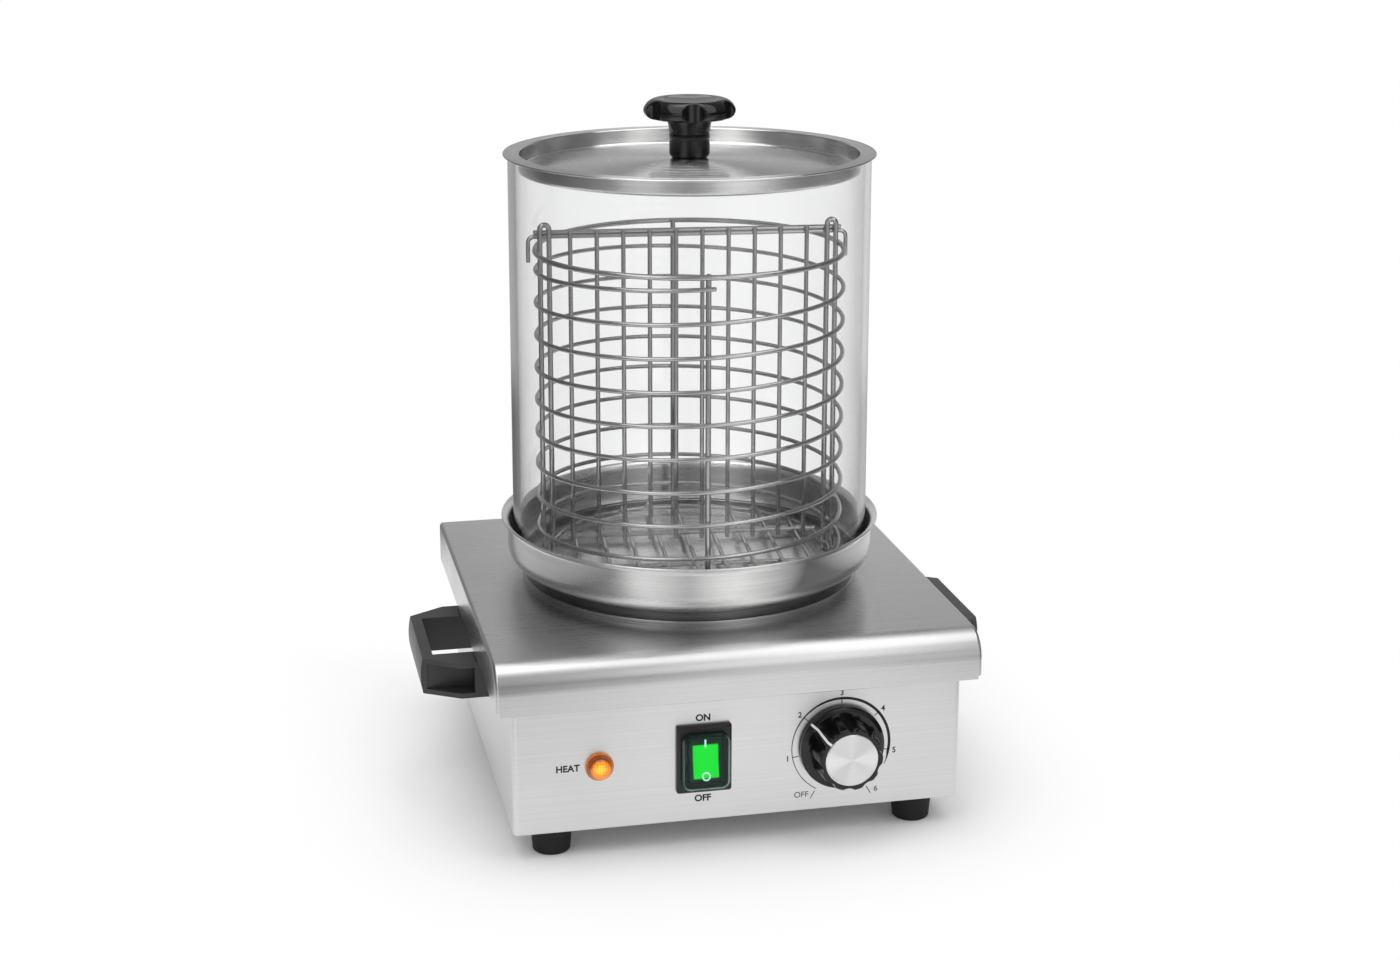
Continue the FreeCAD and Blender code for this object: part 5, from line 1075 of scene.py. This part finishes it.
class WARMER_OT_dial(bpy.types.Operator):
    """Thermostat knob with flutes, spun cap and white pointer"""

    bl_idname = "warmer.dial"
    bl_label = "Dial knob"

    def execute(self, context):
        gap, depth = 1.0, 20.5
        skirt, skirt_high, slope, slope_high = 23.0, 3.4, 21.0, 5.0
        foot, grip, edge = 18.8, 17.3, 1.0
        well, cap_low = 14.3, 19.5
        bore, bore_end, mouth, mouth_end = 3.05, 15.0, 5.3, 4.3
        boss, hollow, hollow_end = 7.0, 19.5, 4.6
        profile = outline(
            (0, bore_end), (bore, bore_end), (bore, mouth_end), (mouth, mouth_end), (mouth, gap), (boss, gap),
            (boss, hollow_end), (hollow, hollow_end), (hollow, gap),
            arc((skirt - 0.4, gap + 0.4), 0.4, -90, 0, 4),
            arc((skirt - 0.5, skirt_high - 0.3), 0.5, 0, 50, 4), (slope, slope_high - 0.05),
            (slope - 0.4, slope_high), (foot + 0.7, slope_high), (foot + 0.1, slope_high + 0.2),
            (foot - 0.08, slope_high + 0.9), ((foot + grip) / 2, (slope_high + depth) / 2),
            arc((grip - edge, depth - edge), edge, 5, 90, 6), (well + 0.3, depth), (well, depth - 0.3),
            (well, cap_low), (0, cap_low))
        lead, flute, cut, half_pitch = 140.0, 4.5, 1.6, 18
        flutes = scallops(10, grip + flute - cut, flute, lead + half_pitch)
        out, level = profile.T
        limited = (level > slope_high - 0.01) & (out > well + 0.2) & (out < foot + 0.5)
        shape = facing_front(turned(profile, 240, flutes, limited), DIAL)
        spun("dial_knob_moulding", shape, plastics(context)["knob"], "dial", "knob_body")

        cap, face, chamfer = 14.2, 21.0, 0.4
        floor = face - 0.08
        profile = outline((0, cap_low), (cap, cap_low), (cap, face - chamfer), (cap - chamfer, face),
                          (cap - 0.9, face), (cap - 1.0, floor), (9.0, floor), (4.0, floor), (1.0, floor),
                          (0, floor))
        shape = facing_front(turned(profile, steps=128), DIAL)
        metal = steels(context)["cap"]
        spun("dial_cap_turned", shape, metal, "dial", "knob_cap", sharp=20.0)

        proud, width, soft = 0.15, 1.3, 0.05
        turn = math.radians(lead)
        path = np.array([
            (well + 0.1, depth), (grip - 0.4, depth), (grip - 0.1, depth - 0.6), (foot, slope_high + 0.4),
            (foot + 0.7, slope_high), (slope - 0.2, slope_high), (skirt - 0.35, skirt_high + 0.15),
            (skirt - 0.06, skirt_high - 0.6)])
        across = np.array([-math.sin(turn), math.cos(turn), 0])
        way = np.stack([path[:, 0] * math.cos(turn), path[:, 0] * math.sin(turn), path[:, 1]], 1)
        points, quads, uv = swept(way, across, flat_section(width, proud, soft), tip=soft)
        piece("dial_pointer_line", [(facing_front(points, DIAL), quads, uv)], plastics(context)["white"],
              "dial", ("knob_pointer",))
        return {"FINISHED"}


def rounded_loop(half_wide, half_tall, corner, steps=8):
    """Closed rounded rectangle, counter-clockwise from its right side."""
    corner = max(corner, 0.01)
    x, y = half_wide - corner, half_tall - corner
    return np.concatenate([arc((x, y), corner, 0, 90, steps), arc((-x, y), corner, 90, 180, steps),
                           arc((-x, -y), corner, 180, 270, steps), arc((x, -y), corner, 270, 360, steps)])


def on_rocker(points):
    """Puts marks on the rocker's hollow face: y = -(face + horn |z| / half) - level, tilted at the pivot."""
    face, horn, half, tilt, pivot = 4.0, 0.9, 11.5, math.radians(-9.0), 1.0
    y = -(face + horn * np.abs(points[..., 1]) / half) - points[..., 2]
    z = points[..., 1]
    back = y * math.cos(tilt) - z * math.sin(tilt)
    high = y * math.sin(tilt) + z * math.cos(tilt)
    return np.stack([SWITCH[0] + points[..., 0], PANEL - pivot + back, SWITCH[2] + high], -1)


def band(inner, outer, angle, depth, wrap=False):
    """Flat line along an angle that runs clockwise from the top, between two radii, with a thickness."""
    radius = np.stack([inner, inner, outer, outer])
    level = np.array([0, depth, depth, 0])[:, None] + 0 * angle
    return patch(np.stack([radius * np.sin(angle), radius * np.cos(angle), level], 2), wrap=wrap, loop=True)


class WARMER_OT_switch(bpy.types.Operator):
    """Rocker switch with its frame, marks and clear splash cover"""

    bl_idname = "warmer.switch"
    bl_label = "Switch"

    def execute(self, context):
        plastic = plastics(context)["bezel"]
        green = lit_rocker("lit_rocker", context.scene.warmer_colours.lit_green)
        dressed("switch_frame", "switch_bezel", plastic, 0.3 * MM, steps=3)
        dressed("switch_rocker", "rocker_moulding", green, 0.4 * MM, "rocker", 3)

        depth, inner, outer, ring_down = 0.12, 1.5, 2.4, 8.7
        bar_low, bar_high, bar_wide, bar_tip = 6.9, 10.9, 1.05, 0.03
        angle = full_turn(40)
        whole = np.ones_like(angle)
        points, quads, uv = band(inner * whole, outer * whole, angle, depth, True)
        low = on_rocker(points + (0, -ring_down, 0))
        points, bar_quads, bar_uv = swept(line((0, bar_low, 0), (0, bar_high, 0), steps=4), (-1, 0, 0),
                                          flat_section(bar_wide, depth), tip=bar_tip)
        piece("rocker_marks", [(low, quads, uv), (on_rocker(points), bar_quads, bar_uv)],
              lit_mark("lit_mark"), "rocker")

        wide, tall = (BOOT_HIGH - BOOT_LOW)[0] / 2, (BOOT_HIGH - BOOT_LOW)[2] / 2
        deep, corner, least, wall, fillet = 6.8, 4.5, 1.2, 0.8, 2.7
        rise = np.radians(np.linspace(0, 90, 7))

        def shell(inset):
            """Rows of the cover from its foot over the fillet to the middle of its face."""
            bend = fillet - inset
            rows = [(inset, 0.0)]
            rows += [(inset + bend * (1 - math.cos(a)), deep - fillet + bend * math.sin(a)) for a in rise]
            loops = []
            for gap, level in rows:
                loop = rounded_loop(wide - gap, tall - gap, max(corner - gap, least))
                loops.append(np.column_stack([loop, np.full(len(loop), level)]))
            return np.array(loops + [loops[-1] * (k, k, 1) for k in (0.8, 0.5, 0.2, 0.0)])

        rows = np.concatenate([shell(wall)[::-1], shell(0.0)])
        rows[..., 2] += PANEL - BOOT_HIGH[1]
        shape = facing_front(rows, SWITCH)
        spun("splash_cover", shape, clear_boot("clear_boot"), "base", "switch_boot", sharp=50.0)
        return {"FINISHED"}


class WARMER_OT_lamp(bpy.types.Operator):
    """Amber lens of the pilot lamp"""

    bl_idname = "warmer.lamp"
    bl_label = "Pilot lamp"

    def execute(self, context):
        flange, soft, step, dome, corner, height = 7.6, 0.5, 1.6, 6.6, 5.0, 7.0
        profile = outline(
            (0, 0), (flange, 0), arc((flange - soft, step - soft), soft, 0, 90, 5), (dome + 0.1, step),
            (dome, step + 0.15), arc((dome - corner, height - corner), corner, 0, 90, 14), (0, height))
        shape = facing_front(turned(profile, steps=96), LAMP)
        amber = lit_lens("lit_lens", context.scene.warmer_colours.lit_amber)
        spun("lamp_lens_moulding", shape, amber, "base", "lamp_lens")
        return {"FINISHED"}


def lettering(text, height, x, z, depth, weight=0.0):
    """One word as a mesh: built-in letters scaled to a height and centred on a place of the front panel."""
    curve = bpy.data.curves.new(text, "FONT")
    curve.body = text
    curve.extrude = 0.5
    curve.offset = weight
    holder = linked(text, curve)
    mesh = bpy.data.meshes.new_from_object(holder.evaluated_get(bpy.context.evaluated_depsgraph_get()))
    bpy.data.objects.remove(holder)
    bpy.data.curves.remove(curve)
    place = read(mesh.vertices, "co", 3)
    low, high = place.min(0), place.max(0)
    place = (place - (low + high) / 2) * (height / (high - low)[1])
    flat = np.column_stack([place[:, :2], np.where(place[:, 2] > 0, depth, 0.0)])
    mesh.vertices.foreach_set("co", (facing_front(flat, (x, 0, z)) * MM).ravel())
    return mesh


def joined(name, meshes, material, body):
    """One piece from several meshes that are in place."""
    work = bmesh.new()
    for mesh in meshes:
        work.from_mesh(mesh)
        bpy.data.meshes.remove(mesh)
    bmesh.ops.remove_doubles(work, verts=work.verts, dist=WELD)
    bmesh.ops.recalc_face_normals(work, faces=work.faces)
    mesh = bpy.data.meshes.new(name)
    work.to_mesh(mesh)
    work.free()
    mesh.materials.append(material)
    seat(name, mesh, body)


class WARMER_OT_print(bpy.types.Operator):
    """Words and dial printed on the front panel"""

    bl_idname = "warmer.print"
    bl_label = "Panel print"

    def execute(self, context):
        depth = context.scene.warmer_sizes.print_depth / MM
        ink = plastics(context)["ink"]
        x, z = SWITCH[0], SWITCH[2]
        large, heavy, light = 3.9, 0.036, 0.018
        nudge, above, below, beside = 0.3, 22.3, 22.8, 16.5
        words = [lettering("ON", large, x - nudge, z + above, depth, heavy),
                 lettering("OFF", large, x - nudge, z - below, depth, heavy),
                 lettering("HEAT", 3.8, LAMP[0] - beside, LAMP[2], depth, 0.032)]
        joined("panel_words", words, ink, "base")

        figures = []
        away, small = 29.8, 3.2
        for text, turn in zip("12345", range(-100, 101, 50)):
            a = math.radians(turn)
            place = (DIAL[0] + away * math.sin(a), DIAL[2] + away * math.cos(a))
            figures.append(lettering(text, small, *place, depth, light))
        figures.append(lettering("OFF", small, DIAL[0] - 21.6, DIAL[2] - 26.2, depth))
        figures.append(lettering("6", small, DIAL[0] + 19.6, DIAL[2] - 26.4, depth))
        joined("dial_figures", figures, ink, "base")

        ring, thin, extra, end, taper, hair, soft = 27.3, 0.42, 1.1, 118, 16, 0.45, 0.01
        turn = np.linspace(-150, end, 160)
        angle = np.radians(turn)
        swell = thin + extra * np.sin(np.pi / 2 * np.clip((turn + 100) / 130, 0, 1)) ** 2
        inner = ring - swell * np.clip((end - turn) / taper, 0.25, 1)
        parts = [band(inner, ring + 0 * angle, angle, depth)]
        for turn in range(-150, 151, 50):
            a = math.radians(turn)
            way = np.array([math.sin(a), math.cos(a), 0])
            ends = (ring + 1.2, ring + 6.0) if abs(turn) == 150 else (ring - 3.6, ring)
            tick = line(way * ends[0], way * ends[1], steps=2)
            across = (-math.cos(a), math.sin(a), 0)
            parts.append(swept(tick, across, flat_section(hair, depth, soft), tip=soft))
        parts = [(facing_front(points, DIAL), quads, uv) for points, quads, uv in parts]
        piece("dial_scale", parts, ink, "base")
        return {"FINISHED"}


# Studio

def shades(tree, value, stops):
    """Grey from a value by stops of place and shade."""
    ramp = add(tree, "ShaderNodeValToRGB", {0: value})
    marks = ramp.color_ramp.elements
    while len(marks) < len(stops):
        marks.new(0.5)
    for mark, (place, shade) in zip(marks, stops):
        mark.position = place
        mark.color = (shade, shade, shade, 1)
    return ramp.outputs[0]


def studio_screen():
    """Bent card round the machine that only its gloss sees: bright and dark strips by the way round.

    The strips are given in degrees to the right of the direction to the camera.
    """
    low_strips = [(-180, 0.3), (-147, 0.15), (-128, 0.25), (-109, 0.2), (-90, 0.1), (-60, 0.15), (-45, 0.25),
                  (-36, 0.6), (-27, 1.0), (-18, 0.85), (0, 0.22), (9, 0.7), (18, 1.0), (27, 0.95), (36, 0.6),
                  (45, 0.3), (54, 0.15), (65, 0.03), (81, 0.1), (109, 0.3), (128, 0.38), (147, 0.55),
                  (180, 0.3)]
    mid_strips = [(-180, 0.6), (-145, 0.4), (-118, 0.2), (-100, 0.06), (-80, 0.1), (-60, 0.2), (-36, 0.35),
                  (0, 0.25), (12, 0.3), (27, 0.7), (54, 0.5), (70, 0.25), (100, 0.28), (120, 0.15),
                  (140, 0.7), (180, 0.6)]
    high_strips = [(-180, 0.45), (-150, 0.3), (-125, 0.1), (-60, 0.12), (-45, 0.2), (-38, 0.95), (-30, 1.35),
                   (-20, 1.2), (-12, 0.55), (0, 0.3), (10, 0.6), (18, 1.2), (35, 1.35), (46, 0.7), (56, 0.12),
                   (70, 0.05), (125, 0.06), (150, 0.3), (180, 0.45)]
    material = bpy.data.materials.new("studio_screen")
    material.use_nodes = True
    tree = material.node_tree
    tree.nodes.clear()
    uv = add(tree, "ShaderNodeUVMap", uv_map=GRAIN).outputs[0]
    along = add(tree, "ShaderNodeSeparateXYZ", {0: uv}).outputs[0]
    low, mid, high = (shades(tree, along, [((turn + 180) / 360, shade) for turn, shade in strips])
                      for strips in (low_strips, mid_strips, high_strips))
    place = add(tree, "ShaderNodeTexCoord").outputs["Object"]
    height = add(tree, "ShaderNodeSeparateXYZ", {0: place}).outputs[2]
    shade = mixed(tree, eased(tree, height, 0.09, 0.15), low, mid)
    shade = mixed(tree, eased(tree, height, 0.285, 0.31), shade, high)
    glow = add(tree, "ShaderNodeEmission", {"Color": shade, "Strength": 1.0}).outputs[0]
    nothing = add(tree, "ShaderNodeBsdfTransparent").outputs[0]
    mirrored = math_node(tree, "MINIMUM", add(tree, "ShaderNodeLightPath").outputs["Glossy Depth"], 1.0)
    either = add(tree, "ShaderNodeMixShader", {0: mirrored, 1: nothing, 2: glow}).outputs[0]
    add(tree, "ShaderNodeOutputMaterial", {"Surface": either})

    angle = np.radians(math.degrees(CAMERA_WAY) + np.linspace(-180, 180, 181))
    radius = 450.0
    level = np.array([3.0, 550.0])[:, None]
    x = radius * np.cos(angle) + 0 * level
    y = radius * np.sin(angle) + 0 * level
    points, quads, _ = patch(upright(np.stack([x, y, level + 0 * angle], 2), AXIS))
    share = np.linspace(0, 1, len(angle))
    u = np.stack([share[:-1], share[1:], share[1:], share[:-1]], 1).reshape(-1)
    v = np.tile([0.0, 0.0, 1.0, 1.0], len(quads))
    mesh = bpy.data.meshes.new("studio_screen")
    mesh.from_pydata((points * MM).tolist(), [], quads.tolist())
    mesh.uv_layers.new(name=GRAIN).data.foreach_set("uv", np.stack([u, v], 1).ravel())
    mesh.materials.append(material)
    screen = linked("studio_screen", mesh)
    for ray in ("camera", "diffuse", "volume_scatter", "shadow"):
        setattr(screen, f"visible_{ray}", False)


def studio_floor():
    """Pale floor: shaded near the machine, where its shadow lies, and plain white further out."""
    material, tree, shader, place = blank("studio_floor")
    feed(tree, shader, {"Base Color": (0.95, 0.95, 0.95, 1), "Roughness": 0.7, "Specular IOR Level": 0.1})
    half_wide, half_deep = 0.121, 0.12
    split = add(tree, "ShaderNodeSeparateXYZ", {0: place}).outputs
    sideways = math_node(tree, "SUBTRACT", math_node(tree, "ABSOLUTE", split[0]), half_wide)
    forward = math_node(tree, "SUBTRACT", math_node(tree, "ABSOLUTE", split[1]), half_deep)
    away = math_node(tree, "MAXIMUM", sideways, forward)
    far = eased(tree, away, -0.02, 0.13)
    white = add(tree, "ShaderNodeEmission", {"Color": (1, 1, 1, 1), "Strength": 1.0}).outputs[0]
    surface(tree, far, shader.outputs[0], white)
    edge = 15.0
    corners = [(x * edge, y * edge, 0) for x, y in ((-1, -1), (1, -1), (1, 1), (-1, 1))]
    mesh = bpy.data.meshes.new("studio_floor")
    mesh.from_pydata(corners, [], [(0, 1, 2, 3)])
    mesh.materials.append(material)
    floor = linked("studio_floor", mesh)


def studio_world(scene):
    """White to the camera; to gloss and glass a sky, white at the horizon, grey above and light overhead."""
    world = bpy.data.worlds.new("studio_world")
    scene.world = world
    world.use_nodes = True
    world.cycles.sampling_method = "NONE"
    tree = world.node_tree
    tree.nodes.clear()
    way = add(tree, "ShaderNodeTexCoord").outputs["Generated"]
    rise = add(tree, "ShaderNodeSeparateXYZ", {0: way}).outputs[2]
    sky = shades(tree, rise, [(0.0, 0.9), (0.12, 0.7), (0.225, 0.5), (0.4, 0.2), (1.0, 0.22)])
    path = add(tree, "ShaderNodeLightPath").outputs
    soft = mixed(tree, path["Is Diffuse Ray"], sky, (0.62, 0.62, 0.62, 1))
    seen = mixed(tree, path["Is Camera Ray"], soft, (1, 1, 1, 1))
    light = add(tree, "ShaderNodeBackground", {"Color": seen, "Strength": 1.0}).outputs[0]
    add(tree, "ShaderNodeOutputWorld", {"Surface": light})


def softbox(name, place, target, wide, tall, radiance):
    """Area lamp of a given radiance that looks at a target; its power is radiance times area times pi."""
    lamp = bpy.data.lights.new(name, "AREA")
    lamp.shape = "RECTANGLE"
    lamp.size = wide
    lamp.size_y = tall
    lamp.energy = radiance * wide * tall * math.pi
    holder = linked(name, lamp)
    holder.location = place
    holder.rotation_euler = (Vector(target) - Vector(place)).to_track_quat("-Z", "Y").to_euler()
    holder.visible_camera = False


CAMERA_PLACE = (-0.2671, -1.2040, 0.5358)
CAMERA_AZIMUTH = 12.12
CAMERA_PITCH = 13.14
CAMERA_WAY = math.atan2(CAMERA_PLACE[1] - AXIS[1] * MM, CAMERA_PLACE[0] - AXIS[0] * MM)


class WARMER_OT_stage(bpy.types.Operator):
    """Floor, light and camera"""

    bl_idname = "warmer.stage"
    bl_label = "Stage"

    def execute(self, context):
        scene = context.scene
        scene.view_settings.view_transform = "Standard"
        studio_world(scene)
        studio_floor()
        studio_screen()
        for side in (-1, 1):
            place, target = (side * 0.62, -0.35, 1.55), (side * 0.5, -0.2, 0.0)
            softbox(f"overhead_box_{side}", place, target, wide=0.95, tall=2.4, radiance=1.45)

        behind, above = 1.16, 0.6
        middle = (AXIS[0] * MM, AXIS[1] * MM, LID_HIGH[2] * MM)
        place = (middle[0] - behind * math.cos(CAMERA_WAY), middle[1] - behind * math.sin(CAMERA_WAY),
                 middle[2] + above)
        softbox("back_box", place, middle, wide=0.3, tall=0.3, radiance=1.1)

        lens = bpy.data.cameras.new("camera")
        lens.sensor_fit = "HORIZONTAL"
        lens.sensor_width = 36.0
        lens.lens = 58.76
        lens.shift_x = 0.0147
        lens.shift_y = -0.1
        camera = linked("camera", lens)
        camera.location = CAMERA_PLACE
        camera.rotation_euler = (math.radians(90 - CAMERA_PITCH), 0, math.radians(-CAMERA_AZIMUTH))
        scene.camera = camera
        return {"FINISHED"}


OPERATORS = (
    WARMER_OT_housing, WARMER_OT_cover, WARMER_OT_handles, WARMER_OT_feet, WARMER_OT_inlet,
    WARMER_OT_fasteners, WARMER_OT_inside, WARMER_OT_pan, WARMER_OT_glass, WARMER_OT_lid, WARMER_OT_basket,
    WARMER_OT_dial, WARMER_OT_switch, WARMER_OT_lamp, WARMER_OT_print, WARMER_OT_stage,
)


class WARMER_PT_pieces(bpy.types.Panel):
    """Lists the pieces of the warmer"""

    bl_idname = "WARMER_PT_pieces"
    bl_label = "Sausage warmer"
    bl_space_type = "VIEW_3D"
    bl_region_type = "UI"
    bl_category = "Warmer"

    def draw(self, context):
        column = self.layout.column(align=True)
        for operator in OPERATORS:
            column.operator(operator.bl_idname)
        for settings in (context.scene.warmer_sizes, context.scene.warmer_colours):
            column = self.layout.column()
            for key in settings.__annotations__:
                column.prop(settings, key)


CLASSES = (WarmerSizes, WarmerColours) + OPERATORS + (WARMER_PT_pieces,)


def register():
    for cls in CLASSES:
        bpy.utils.register_class(cls)
    bpy.types.Scene.warmer_sizes = PointerProperty(type=WarmerSizes)
    bpy.types.Scene.warmer_colours = PointerProperty(type=WarmerColours)


def unregister():
    del bpy.types.Scene.warmer_colours
    del bpy.types.Scene.warmer_sizes
    for cls in reversed(CLASSES):
        bpy.utils.unregister_class(cls)


def main():
    register()
    for operator in OPERATORS:
        group, name = operator.bl_idname.split(".")
        getattr(getattr(bpy.ops, group), name)()


if __name__ == "__main__":
    main()
